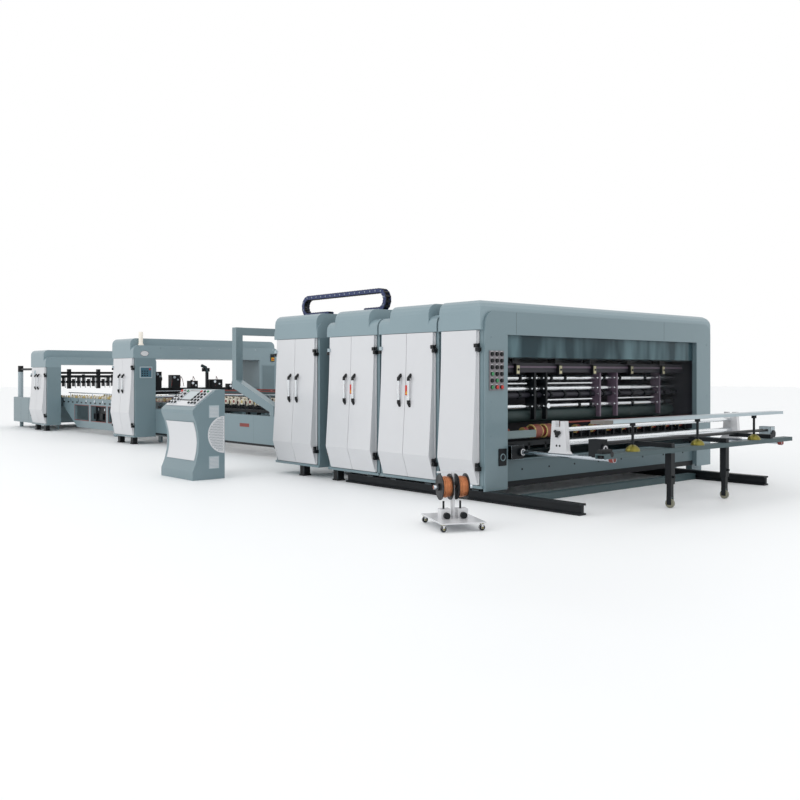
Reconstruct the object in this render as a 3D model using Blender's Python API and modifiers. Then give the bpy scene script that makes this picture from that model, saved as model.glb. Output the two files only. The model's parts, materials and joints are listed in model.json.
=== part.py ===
# Box printing, folding and stitching line, in metres.
# +X points upstream, to the feed table. +Y points across, to the drive side. +Z is up.
# The origin is on the floor, on the centre line, under the cross tie at the feeder.
# Places along the line are written as distances downstream of the feed face.
# Places across it are written as distances from the operator's side.

import math

import bpy
import bmesh
from mathutils import Matrix, Vector

# Overall
LINE_WIDTH = 4.96
FEED_FACE_X = -0.27
TOUCH = 0.0003
SHEET = 0.03
LAP = 0.006
FACET_ANGLE = math.radians(46)

# Housings of the four cutting and printing units
CABINET_DEPTH = 0.43
CABINET_FRONT = 0.045
CABINET_BOTTOM = 0.15
SIDE_STRIP = 0.05
ROOF_BASE = 1.98
SHOULDER_TOP = ROOF_BASE + 0.21
SHOULDER_ROUND = 0.12
RIDGE_TOP = ROOF_BASE + 0.35
RIDGE_ROUND = 0.13
END_PLATE_THICK = 0.03
END_PLATE_INSET = 0.05
END_PLATE_TOP = ROOF_BASE + 0.22
END_PLATE_ROUND = 0.15
END_PLATE_BOTTOM = 0.12
FEED_MOUTH_TOP = ROOF_BASE - 0.05

# Doors
DOOR_THICK = 0.04
DOOR_BULGE = 0.07
DOOR_TOE = 0.022
DOOR_CURVE = 1.6
DOOR_BOTTOM = 0.19
DOOR_TOP_GAP = 0.006
DOOR_KINK = 0.48
LEAF_GAP = 0.007
HINGE_SETOUT = 0.012
HINGE_RADIUS = 0.01
HINGE_EDGE = 0.016
HINGE_HEIGHT = 0.09
HINGE_LEAF = 0.022
HINGE_LOW = 0.4
HANDLE_LOW = 1.07
HANDLE_HIGH = 1.46
HANDLE_BEND = 0.04
HANDLE_FROM_EDGE = 0.09
HANDLE_REACH = 0.052
HANDLE_RADIUS = 0.011

# Rails and floor ties
RAIL_NEAR = (0.06, 0.17)
RAIL_FAR = (3.95, 4.06)
RAIL_HEIGHT = 0.12
RAIL_RUNS_UPSTREAM = 1.33
RAIL_END = 0.35
TIE_HALF = 0.06
TIE_HEIGHT = 0.08
BASE_BEAM_TOP = 0.4
BASE_BEAM_THICK = 0.15

# Feeder works, seen through the feed mouth: shafts and head beam rise from the feed roll
FEED_ROLL_RADIUS = 0.085
FEED_ROLL_HEIGHT = 0.945
FEED_ROLL_LINE = 0.42
SHAFT_RADIUS = 0.032
SHAFT_RISES = (0.475, 0.341, 0.26, 0.12)
SHAFT_LINE = 0.36
HANGER_THICK = 0.03
HANGER_PLACES = (1.208, 1.43, 2.545, 2.925, 3.958)
HANGER_DROP = 0.045
HANGER_CLEAR = 0.012
HEAD_BEAM = (0.24, 0.32)
HEAD_BEAM_RISE = (0.545, 0.665)
HEAD_BEAM_LOW = FEED_ROLL_HEIGHT + HEAD_BEAM_RISE[0]
HEAD_BEAM_HIGH = FEED_ROLL_HEIGHT + HEAD_BEAM_RISE[1]
HEAD_PLACES = (0.766, 1.577, 2.288, 3.129, 3.907)
WHEEL_LINE = 0.2
WHEEL_HEIGHT = 0.76
WHEEL_RADIUS = 0.06
WHEEL_COUNT = 12
ROLL_RADIUS = 0.2
ROLL_HEIGHT = 1.0
ROLL_JOURNAL = 0.06
SCREEN_BOTTOM = 0.84
SCREEN_SPLIT = 2.985
PANEL_SIZE = (0.24, 0.46)
PANEL_CENTRE = (0.23, 1.51)

# Feed table
SIDE_RAIL_INSET = 0.6
SIDE_RAIL_RADIUS = 0.022
SIDE_RAIL_HEIGHT = 0.55
SIDE_RAIL_REACH = 1.33
RAIL_TOP = SIDE_RAIL_HEIGHT + SIDE_RAIL_RADIUS + TOUCH
CARRIAGE_REACH = 1.16
CARRIAGE_HEIGHT = 0.71
CARRIAGE_ARM_SHARES = (0.316, 0.604, 0.872)
GUIDE_TUBES = ((0.84, 0.025), (0.693, 0.035))
STAND_REACH = 1.62
STAND_BEAM = (0.61, 0.66)
STAND_BEAM_WIDTH = 0.12
STAND_SPAN = (0.02, 4.01)
LEG_SHARES = (0.316, 0.604)
LEG_WIDTH = 0.075
LEG_CASTOR_RADIUS = 0.05
BAR_HEIGHTS = (0.965, 1.0)
BAR_SPAN = (-0.03, 3.72)
BAR_WIDTH = 0.16
JACK_SHARES = (0.163, 0.499, 0.843)
JACK_DOME = (0.075, 0.045, 0.045)
BRACKET_REACH = 0.64
BRACKET_THICK = 0.07

# Wire spool cart
CART_CENTRE = (0.93, -1.38)
CART_TURN = math.radians(64.5)
CART_SIZE = (0.44, 0.66)
CART_PLATE = (0.075, 0.087)
SPOOL_RADIUS = 0.125
SPOOL_CORE = 0.085
SPOOL_WIDTH = 0.11
SPOOL_APART = 0.16
SPOOL_AXLE_HEIGHT = 0.385

# Each cabinet unit: its start and length, and how far its ridge stays in from each end
UNIT_GAP = 0.03
SLOTTER_GAP = 0.23


def after(unit, gap):
    """Where the next unit starts, a gap beyond this one."""
    return unit["start"] + unit["length"] + gap


UNITS = {"feeder": dict(start=END_PLATE_THICK + TOUCH, length=0.70, ridge=(0.0, 0.02), leaves=1)}
UNITS["printer_a"] = dict(start=after(UNITS["feeder"], UNIT_GAP), length=1.09, ridge=(0.14, 0.23))
UNITS["printer_b"] = dict(start=after(UNITS["printer_a"], UNIT_GAP), length=1.09, ridge=(0.17, 0.19))
UNITS["slotter"] = dict(start=after(UNITS["printer_b"], SLOTTER_GAP), length=1.09, ridge=(0.02, 0.02))

# The two portals, and the runs of bed and conveyor before them
FOLD_RUN = 6.37
COUNT_RUN = 4.67
PORTALS = {}
PORTALS["stitcher"] = dict(start=after(UNITS["slotter"], FOLD_RUN), length=1.04, inset=0.70,
                           depth=0.50, roof=2.07, raised=2.22, beam=1.79, door_top=1.80, kink=0.66)
PORTALS["counter"] = dict(start=after(PORTALS["stitcher"], COUNT_RUN), length=1.06, inset=0.95,
                          depth=0.40, roof=1.91, raised=2.09, beam=1.71, door_top=1.64, kink=0.55)
PORTAL_FRONT = 0.14

# Folding bed, its belt carriers and the gate over its middle
BED_UNDER_PORTAL = 0.34
CARRIER_GAPS = (0.10, 0.11)
BED_SPAN = (UNITS["slotter"]["start"] + (UNITS["slotter"]["length"] + BASE_BEAM_THICK) / 2 + TOUCH,
            PORTALS["stitcher"]["start"] + BED_UNDER_PORTAL)
CARRIER_SPAN = (after(UNITS["slotter"], CARRIER_GAPS[0]), PORTALS["stitcher"]["start"] - CARRIER_GAPS[1])
BED_INSET = PORTALS["stitcher"]["inset"] + PORTALS["stitcher"]["depth"] + TOUCH
BED_BEAM = (0.23, 0.73)
BED_BEAM_THICK = 0.14
CROSS_MEMBER = (0.42, 0.56)
CARRIER_SEAT = 1.02
CARRIER_TOP = 1.14
CARRIER_HALF = 0.04
CARRIER_PLACE = 0.55
CARRIER_WHEELS = 13
CARRIER_WHEEL_RADIUS = 0.05
BED_LEG_PLACES = (BED_SPAN[0] + 1.18, BED_SPAN[1] - 1.10)
CROSS_MEMBER_PLACES = (CARRIER_SPAN[0] + 0.31, sum(CARRIER_SPAN) / 2, CARRIER_SPAN[1] - 0.35)
GATE_LINE = sum(CARRIER_SPAN) / 2
GATE_TUBE = 0.14
GATE_TOP = 2.33
GATE_KNEE = (1.22, 1.36)
GATE_BRACE_RUN = 1.32
GATE_BRACE_FOOT = (0.80, 0.91)
GATE_FOOT_LENGTH = 0.11

# What the two portals carry across their passages
STITCH_BEAM = (1.03, 1.17)
STITCH_HEADS = ((0.24, 0.35, 0.14), (0.65, 0.28, 0.20), (1.09, 0.15, 0.18), (1.66, 0.18, 0.28),
                (2.03, 0.08, 0.12))
STITCH_ARM = 1.46
STITCH_ARM_RISE = 0.436
CARRIAGE_BARS = (1.26, 1.5)
CARRIAGE_BAR_RADIUS = 0.03
CARRIAGE_ARMS = (0.40, 1.20, 1.85)
LAMP_PLACE = (0.07, 0.2)
LAMP_SIZE = (0.045, 0.28)

# Counting conveyor and delivery table
COUNTING_GAP = 0.03
COUNTING_SPAN = (PORTALS["stitcher"]["start"] + 0.06, after(PORTALS["counter"], COUNTING_GAP) - TOUCH)
COUNTING_INSET = 1.45
COUNTING_FRAME = (0.13, 0.86)
COUNTING_WINDOW = (0.31, 0.69)
COUNTING_WINDOWS = 4
COUNTING_SHARES = dict(first_window=0.1498, pitch=0.1528, window=0.1328, cut=0.7166, rise=0.8427)
COUNTING_END_LOW = 0.61
COUNTING_LEG_SHARES = (0.0415, 0.3828)
COUNTING_END_LEG_SHARE = 0.9243
COUNTING_FRAME_THICK = 0.06
COUNTING_ROLLERS = 14
DELIVERY_LENGTH = 1.79
DELIVERY_TOP = 0.83
DELIVERY_INSET = 1.1
SENSOR_ARM_RISE = 0.77
SENSOR_FROM_END = 0.15
SENSOR_INSET = 0.14

# Console, which stands by itself in front of the folding bed
CONSOLE_LENGTH = 0.94
CONSOLE_OVERLAP = 0.2
CONSOLE_SPAN = (after(UNITS["slotter"], -CONSOLE_OVERLAP),
                after(UNITS["slotter"], CONSOLE_LENGTH - CONSOLE_OVERLAP))
CONSOLE_FRONT = -1.46
CONSOLE_DEPTH = 0.5
CONSOLE_HEIGHT = 1.25
CONSOLE_LIP = 1.0
CONSOLE_SHELF = 0.36
CONSOLE_WAIST = ((0.0, 0.12), (0.05, 0.24), (0.085, 0.38), (0.095, 0.52), (0.085, 0.66), (0.05, 0.8),
                 (0.0, 0.92))

# Cable chain, which lies on the roofs of two units
CHAIN_INSET = 0.55
CHAIN_WIDTH = 0.11
CHAIN_THICK = 0.066
CHAIN_BEND = 0.13
CHAIN_ENDS = (UNITS["printer_b"]["start"] + 0.58, after(UNITS["slotter"], -0.16))
CHAIN_LANDING = 0.51
CHAIN_START = 0.34


def along(distance):
    """World X of a distance downstream of the feed face."""
    return FEED_FACE_X - distance


def across(inset):
    """World Y of a distance from the operator's side."""
    return inset - LINE_WIDTH / 2


# Every object goes in one collection, with one material for each finish
for old in list(bpy.data.objects):
    bpy.data.objects.remove(old, do_unlink=True)
line = bpy.data.collections.new("box_stitching_line")
bpy.context.scene.collection.children.link(line)

FINISHES = {
    "grey_paint": ((0.30, 0.38, 0.41), 0.35, 0.0),
    "white_paint": ((0.72, 0.75, 0.78), 0.3, 0.0),
    "dark_green_paint": ((0.05, 0.09, 0.09), 0.5, 0.0),
    "black_steel": ((0.02, 0.03, 0.035), 0.5, 0.2),
    "chrome": ((0.75, 0.77, 0.8), 0.15, 1.0),
    "green_rubber": ((0.03, 0.07, 0.06), 0.6, 0.0),
    "red_rubber": ((0.4, 0.07, 0.06), 0.6, 0.0),
    "aluminium": ((0.62, 0.64, 0.66), 0.35, 1.0),
    "smoked_glass": ((0.12, 0.2, 0.22), 0.05, 0.0),
    "copper_wire": ((0.75, 0.3, 0.15), 0.3, 1.0),
    "blue_chain": ((0.03, 0.05, 0.18), 0.45, 0.0),
    "lamp_lens": ((0.9, 0.85, 0.75), 0.3, 0.0),
}


def finish(name):
    paint = bpy.data.materials.get(name)
    if paint is None:
        colour, roughness, metallic = FINISHES[name]
        paint = bpy.data.materials.new(name)
        paint.use_nodes = True
        shader = paint.node_tree.nodes["Principled BSDF"]
        shader.inputs["Base Color"].default_value = (*colour, 1.0)
        shader.inputs["Roughness"].default_value = roughness
        shader.inputs["Metallic"].default_value = metallic
    return paint


def keep(name, mesh, paint):
    """A mesh as an object of the line, with its own finish."""
    piece = bpy.data.objects.new(name, mesh)
    line.objects.link(piece)
    mesh.materials.clear()
    mesh.materials.append(finish(paint))
    return shade_round(piece)


def solid(low, high, paint="grey_paint", name="block"):
    """A block between two corners."""
    low, high = Vector(low), Vector(high)
    shape = bmesh.new()
    bmesh.ops.create_cube(shape, size=1.0)
    bmesh.ops.scale(shape, vec=high - low, verts=shape.verts)
    bmesh.ops.translate(shape, vec=(low + high) / 2, verts=shape.verts)
    mesh = bpy.data.meshes.new(name)
    shape.to_mesh(mesh)
    shape.free()
    return keep(name, mesh, paint)


def round_edges(piece, width, chosen, segments=4):
    """Round the edges whose two ends satisfy a test."""
    shape = bmesh.new()
    shape.from_mesh(piece.data)
    edges = [edge for edge in shape.edges if chosen(edge.verts[0].co, edge.verts[1].co)]
    bmesh.ops.bevel(shape, geom=edges, offset=width, segments=segments, profile=0.5, affect="EDGES")
    shape.to_mesh(piece.data)
    shape.free()
    return piece


def rod(start, end, radius, paint="chrome", sides=16, name="rod", tip=None):
    """A cylinder, or a cone with another radius at its tip, from start to end."""
    start, end = Vector(start), Vector(end)
    run = end - start
    shape = bmesh.new()
    bmesh.ops.create_cone(shape, cap_ends=True, segments=sides, radius1=radius,
                          radius2=radius if tip is None else tip, depth=run.length)
    turn = run.to_track_quat("Z", "Y").to_matrix().to_4x4()
    bmesh.ops.transform(shape, matrix=Matrix.Translation((start + end) / 2) @ turn, verts=shape.verts)
    mesh = bpy.data.meshes.new(name)
    shape.to_mesh(mesh)
    shape.free()
    return keep(name, mesh, paint)


def mesh_from_curve(curve, name, paint, placing):
    """Turn a curve into a closed mesh with its caps welded on."""
    drawn = bpy.data.objects.new(name, curve)
    line.objects.link(drawn)
    bpy.context.view_layer.update()
    seen = drawn.evaluated_get(bpy.context.evaluated_depsgraph_get())
    mesh = bpy.data.meshes.new_from_object(seen)
    bpy.data.objects.remove(drawn, do_unlink=True)
    shape = bmesh.new()
    shape.from_mesh(mesh)
    bmesh.ops.remove_doubles(shape, verts=shape.verts, dist=0.00005)
    bmesh.ops.transform(shape, matrix=placing, verts=shape.verts)
    bmesh.ops.recalc_face_normals(shape, faces=shape.faces)
    shape.to_mesh(mesh)
    shape.free()
    return keep(name, mesh, paint)


# A flat outline is drawn in one of two upright planes, and given a thickness across it
ACROSS_PLANE = Matrix(((0, 0, 1, 0), (1, 0, 0, 0), (0, 1, 0, 0), (0, 0, 0, 1)))
ALONG_PLANE = Matrix(((1, 0, 0, 0), (0, 0, -1, 0), (0, 1, 0, 0), (0, 0, 0, 1)))


def slab(points, low, high, plane, paint="grey_paint", name="slab"):
    """An outline with a thickness from low to high, along X for ACROSS_PLANE or Y for ALONG_PLANE."""
    curve = bpy.data.curves.new(name, "CURVE")
    curve.dimensions = "2D"
    curve.fill_mode = "BOTH"
    curve.extrude = (high - low) / 2
    spline = curve.splines.new("POLY")
    spline.points.add(len(points) - 1)
    for target, (u, v) in zip(spline.points, points):
        target.co = (u, v, 0, 1)
    spline.use_cyclic_u = True
    middle = (low + high) / 2
    shift = (middle, 0, 0) if plane is ACROSS_PLANE else (0, middle, 0)
    return mesh_from_curve(curve, name, paint, Matrix.Translation(shift) @ plane)


def tube(points, radius, paint="chrome", name="tube", resolution=2):
    """A round bar bent through a list of points."""
    curve = bpy.data.curves.new(name, "CURVE")
    curve.dimensions = "3D"
    curve.bevel_depth = radius
    curve.bevel_resolution = resolution
    curve.use_fill_caps = True
    spline = curve.splines.new("POLY")
    spline.points.add(len(points) - 1)
    for target, place in zip(spline.points, points):
        target.co = (*place, 1)
    return mesh_from_curve(curve, name, paint, Matrix.Identity(4))


def shade_round(piece):
    """Smooth shading across the facets of round sides, with real corners left sharp."""
    piece.data.shade_smooth()
    piece.data.set_sharp_from_angle(angle=FACET_ANGLE)
    return piece


def put_origin(piece, place):
    """Give a moving piece its origin at a place on its joint's axis."""
    piece.data.transform(Matrix.Translation(-Vector(place)))
    piece.location = place
    return piece


def combine(first, others, operation):
    """Apply one Boolean after another to the first piece, and remove the others."""
    for other in others:
        step = first.modifiers.new("shape", "BOOLEAN")
        step.operation = operation
        step.object = other
    bpy.context.view_layer.update()
    seen = first.evaluated_get(bpy.context.evaluated_depsgraph_get())
    mesh = bpy.data.meshes.new_from_object(seen)
    first.modifiers.clear()
    shape = bmesh.new()
    shape.from_mesh(mesh)
    bmesh.ops.remove_doubles(shape, verts=shape.verts, dist=0.00002)
    bmesh.ops.dissolve_degenerate(shape, edges=shape.edges, dist=0.00002)
    shape.to_mesh(mesh)
    shape.free()
    first.data = mesh
    for other in others:
        bpy.data.objects.remove(other, do_unlink=True)
    return first


def fuse(name, paint, pieces):
    """Join overlapping shapes into one node."""
    whole = combine(pieces[0], pieces[1:], "UNION") if len(pieces) > 1 else pieces[0]
    whole.name = name
    whole.data.materials.clear()
    whole.data.materials.append(finish(paint))
    return shade_round(whole)


def cut(piece, cutters):
    return combine(piece, cutters, "DIFFERENCE")


def gather(pieces):
    """Put shapes that stand apart into one mesh, to be one operand of a Boolean."""
    shape = bmesh.new()
    for piece in pieces:
        shape.from_mesh(piece.data)
        bpy.data.objects.remove(piece, do_unlink=True)
    mesh = bpy.data.meshes.new("gathered")
    shape.to_mesh(mesh)
    shape.free()
    return keep("gathered", mesh, "grey_paint")


def arc(centre_u, centre_v, radius, start, end, steps=5):
    """Points on an arc, with angles in degrees."""
    angles = [math.radians(start + (end - start) * i / steps) for i in range(steps + 1)]
    return [(centre_u + radius * math.cos(a), centre_v + radius * math.sin(a)) for a in angles]


# Cabinets: an open-fronted steel housing on the operator's side of each unit

def door_curve(top, kink):
    """Outer face of a door from its kink to its top, as (inset, height) points."""
    points = []
    steps = 5
    for i in range(steps + 1):
        share = i / steps
        points.append((-DOOR_BULGE * (1 - share) ** DOOR_CURVE, kink + (top - kink) * share))
    return points


def door_profile(top, kink):
    """Side view of a door, with its flat back."""
    return ([(DOOR_THICK, DOOR_BOTTOM), (DOOR_TOE, DOOR_BOTTOM)] + door_curve(top, kink)
            + [(DOOR_THICK, top)])


def place_profile(points, inset):
    """Turn a side view drawn from a cabinet's door plane into world Y and Z."""
    return [(across(inset + u), v) for u, v in points]


def hinge_heights(door_top):
    return (HINGE_LOW, door_top - 0.2)


def hinge_body(x, inset, height, outward):
    """The cabinet's half of a hinge: a knuckle on a block at the side strip."""
    y = across(inset - HINGE_SETOUT)
    knuckle = rod((x, y, height - HINGE_HEIGHT / 2), (x, y, height), HINGE_RADIUS, sides=12)
    reach = x + outward * HINGE_LEAF
    root = x - outward * HINGE_RADIUS * 0.5
    block = solid((min(root, reach), y - HINGE_RADIUS * 0.5, height - HINGE_HEIGHT / 2 + 0.002),
                  (max(root, reach), across(inset + CABINET_FRONT + LAP), height - 0.002))
    return [knuckle, block]


def hinge_arm(x, inset, height, outward):
    """The door's half of a hinge, which turns on the same axis just above."""
    y = across(inset - HINGE_SETOUT)
    low = height + TOUCH
    knuckle = rod((x, y, low), (x, y, low + HINGE_HEIGHT / 2), HINGE_RADIUS, sides=12)
    reach = x - outward * (HINGE_EDGE + 0.02)
    arm = solid((min(x, reach), y - HINGE_RADIUS * 0.5, low + 0.002),
                (max(x, reach), across(inset + DOOR_THICK * 0.5), low + HINGE_HEIGHT / 2 - 0.002))
    return [knuckle, arm]


def door_span(unit):
    """World X of the two hinge axes of a cabinet: upstream first."""
    return (along(unit["start"] + SIDE_STRIP), along(unit["start"] + unit["length"] - SIDE_STRIP))


def cabinet(name, unit, feet):
    """A sheet-steel housing, open at the front, with hinge blocks and feet at (share, height)."""
    inset = unit.get("inset", 0.0)
    depth = unit.get("depth", CABINET_DEPTH)
    door_top = unit.get("door_top", ROOF_BASE - DOOR_TOP_GAP)
    top = door_top + DOOR_TOP_GAP - TOUCH
    high_x = along(unit["start"])
    low_x = along(unit["start"] + unit["length"])
    side = [(CABINET_FRONT, DOOR_BOTTOM - 0.008), (CABINET_FRONT, top), (depth, top),
            (depth, CABINET_BOTTOM), (DOOR_TOE, CABINET_BOTTOM), (DOOR_TOE, DOOR_BOTTOM - 0.008)]
    shell = slab(place_profile(side, inset), low_x, high_x, ACROSS_PLANE)
    hollow = solid((low_x + SIDE_STRIP, across(inset - 0.1), CABINET_BOTTOM + SHEET + LAP),
                   (high_x - SIDE_STRIP, across(inset + depth - SHEET), top - SHEET))
    shell = cut(shell, [hollow])
    pieces = [shell]
    hinge_x = door_span(unit)
    for height in hinge_heights(door_top):
        pieces += hinge_body(hinge_x[0], inset, height, 1)
        if unit.get("leaves", 2) == 2:
            pieces += hinge_body(hinge_x[1], inset, height, -1)
    foot_near, foot_far = inset + RAIL_NEAR[0], inset + RAIL_NEAR[1]
    for share, foot_height in feet:
        x = low_x + (high_x - low_x) * share
        pieces.append(solid((x - 0.05, across(foot_near), foot_height + TOUCH),
                            (x + 0.05, across(foot_far), CABINET_BOTTOM + LAP)))
    return fuse(name + "_cabinet", "grey_paint", pieces)


def handle(x, inset, top, kink):
    """A grab handle that stands out from the curved face of a door."""
    def face(height):
        share = (height - kink) / (top - kink)
        return -DOOR_BULGE * (1 - share) ** DOOR_CURVE
    low_y = across(inset + face(HANDLE_LOW) + 0.01)
    high_y = across(inset + face(HANDLE_HIGH) + 0.01)
    grip_y = across(inset - HANDLE_REACH)
    points = [(x, low_y, HANDLE_LOW), (x, grip_y, HANDLE_LOW + HANDLE_BEND),
              (x, grip_y, HANDLE_HIGH - HANDLE_BEND), (x, high_y, HANDLE_HIGH)]
    return tube(points, HANDLE_RADIUS, resolution=1)


def doors(name, unit):
    """The curved leaves of a cabinet, each with its hinge arms and its handle."""
    inset = unit.get("inset", 0.0)
    top = unit.get("door_top", ROOF_BASE - DOOR_TOP_GAP)
    kink = unit.get("kink", DOOR_KINK)
    upstream, downstream = door_span(unit)
    middle = (upstream + downstream) / 2
    leaves = []
    if unit.get("leaves", 2) == 1:
        spans = [("door", downstream + LEAF_GAP, upstream - HINGE_EDGE, upstream, 1)]
    else:
        spans = [("door_right", middle + LEAF_GAP / 2, upstream - HINGE_EDGE, upstream, 1),
                 ("door_left", downstream + HINGE_EDGE, middle - LEAF_GAP / 2, downstream, -1)]
    for part, low_x, high_x, hinge_x, outward in spans:
        pieces = [slab(place_profile(door_profile(top, kink), inset), low_x, high_x, ACROSS_PLANE)]
        for height in hinge_heights(top):
            pieces += hinge_arm(hinge_x, inset, height, outward)
        if len(spans) == 2:
            free_edge = low_x if outward == 1 else high_x
            pieces.append(handle(free_edge + outward * HANDLE_FROM_EDGE, inset, top, kink))
        leaf = fuse(f"{name}_{part}", "white_paint", pieces)
        leaves.append(put_origin(leaf, (hinge_x, across(inset - HINGE_SETOUT), 0)))
    return leaves


# Drive side: a closed casing of the same outline, with its covers fixed

def drive_casing(name, unit):
    high_x = along(unit["start"])
    low_x = along(unit["start"] + unit["length"])
    top = ROOF_BASE - TOUCH

    def mirrored(points):
        return [(-across(u), v) for u, v in points]
    side = [(CABINET_FRONT, CABINET_BOTTOM), (CABINET_FRONT, top),
            (CABINET_DEPTH, top), (CABINET_DEPTH, CABINET_BOTTOM)]
    body = slab(mirrored(side), low_x, high_x, ACROSS_PLANE)
    cover = slab(mirrored([(CABINET_FRONT + LAP, v) if u == DOOR_THICK else (u, v)
                           for u, v in door_profile(ROOF_BASE - DOOR_TOP_GAP, DOOR_KINK)]),
                 low_x + SIDE_STRIP, high_x - SIDE_STRIP, ACROSS_PLANE)
    pieces = [body, cover]
    for share in (0.2, 0.8):
        x = low_x + (high_x - low_x) * share
        pieces.append(solid((x - 0.05, -across(0.36), 0), (x + 0.05, -across(0.1), CABINET_BOTTOM + LAP)))
    return fuse(name + "_drive_casing", "grey_paint", pieces)


def hood(name, unit):
    """The roof that bridges a unit: a low roof with round ends, and a raised ridge on it."""
    high_x = along(unit["start"])
    low_x = along(unit["start"] + unit["length"])
    half = LINE_WIDTH / 2
    drop = SHOULDER_TOP - SHOULDER_ROUND
    low_roof = ([(-half, ROOF_BASE), (half, ROOF_BASE)]
                + arc(half - SHOULDER_ROUND, drop, SHOULDER_ROUND, 0, 90)
                + arc(-half + SHOULDER_ROUND, drop, SHOULDER_ROUND, 90, 180))
    roof = slab(low_roof, low_x, high_x, ACROSS_PLANE)
    ridge_near, ridge_far = unit["ridge"]
    ridge = solid((low_x + ridge_far, -half, ROOF_BASE), (high_x - ridge_near, half, RIDGE_TOP))

    def at_top_end(a, b):
        return (a.z > RIDGE_TOP - LAP and b.z > RIDGE_TOP - LAP and abs(a.y - b.y) < LAP)
    feed_edge = high_x - ridge_near

    def rounded(a, b):
        faces_feed = name == "feeder" and a.x > feed_edge - LAP and b.x > feed_edge - LAP
        at_top = a.z > RIDGE_TOP - LAP and b.z > RIDGE_TOP - LAP
        return at_top_end(a, b) or (faces_feed and at_top)
    round_edges(ridge, RIDGE_ROUND, rounded)
    return fuse(name + "_hood", "grey_paint", [roof, ridge])


def base_beam(name, unit, foot_height):
    """The beam under a unit, between its two housings, with feet on the far rail."""
    middle = along(unit["start"] + unit["length"] / 2)
    if name == "feeder":
        middle = along(unit["start"] + BASE_BEAM_THICK)
    inner = LINE_WIDTH / 2 - CABINET_DEPTH - TOUCH
    beam = solid((middle - BASE_BEAM_THICK / 2, -inner, CABINET_BOTTOM),
                 (middle + BASE_BEAM_THICK / 2, inner, BASE_BEAM_TOP))
    foot = solid((middle - 0.05, across(RAIL_FAR[0]), foot_height + TOUCH),
                 (middle + 0.05, across(RAIL_FAR[1]), CABINET_BOTTOM + LAP))
    return fuse(name + "_base_beam", "dark_green_paint", [beam, foot])


def turned(name, profile, centre, paint, sides):
    """A solid of revolution about a line along Y, from (y, radius) points in order of y."""
    start, end = profile[0][0], profile[-1][0]
    outline = [(0, start)] + [(radius, y) for y, radius in profile] + [(0, end)]
    if end > start:
        outline = outline[::-1]
    half_section = bpy.data.meshes.new(name)
    half_section.from_pydata([(radius, 0, y) for radius, y in outline],
                             [(i, i + 1) for i in range(len(outline) - 1)], [])
    drawn = bpy.data.objects.new(name, half_section)
    line.objects.link(drawn)
    lathe = drawn.modifiers.new("lathe", "SCREW")
    lathe.axis = "Z"
    lathe.steps = sides
    lathe.render_steps = sides
    lathe.use_merge_vertices = True
    lathe.merge_threshold = 0.00005
    bpy.context.view_layer.update()
    mesh = bpy.data.meshes.new_from_object(drawn.evaluated_get(bpy.context.evaluated_depsgraph_get()))
    bpy.data.objects.remove(drawn, do_unlink=True)
    mesh.transform(Matrix.Translation(centre) @ Matrix.Rotation(-math.pi / 2, 4, "X"))
    return keep(name, mesh, paint)


def printing_roll(name, unit):
    """The roll across a unit that shows through the feed mouth."""
    x = along(unit["start"] + unit["length"] / 2)
    inner = LINE_WIDTH / 2 - CABINET_DEPTH - TOUCH
    stub = 0.12
    profile = [(-inner, ROLL_JOURNAL), (-inner + stub, ROLL_JOURNAL), (-inner + stub, ROLL_RADIUS),
               (inner - stub, ROLL_RADIUS), (inner - stub, ROLL_JOURNAL), (inner, ROLL_JOURNAL)]
    return turned(name + "_roll", profile, (x, 0, ROLL_HEIGHT), "black_steel", 24)


# Feeder: end plate, works behind the feed mouth, and glazing

def end_plate():
    """The plate round the feed mouth: two legs and a lintel with round shoulders."""
    outer = LINE_WIDTH / 2 - END_PLATE_INSET
    inner = LINE_WIDTH / 2 - CABINET_DEPTH
    drop = END_PLATE_TOP - END_PLATE_ROUND
    points = ([(-inner, END_PLATE_BOTTOM), (-inner, FEED_MOUTH_TOP), (inner, FEED_MOUTH_TOP),
               (inner, END_PLATE_BOTTOM), (outer, END_PLATE_BOTTOM)]
              + arc(outer - END_PLATE_ROUND, drop, END_PLATE_ROUND, 0, 90)
              + arc(-outer + END_PLATE_ROUND, drop, END_PLATE_ROUND, 90, 180)
              + [(-outer, END_PLATE_BOTTOM)])
    return slab(points, along(END_PLATE_THICK), along(0), ACROSS_PLANE, "grey_paint",
                "feeder_end_plate")


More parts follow.
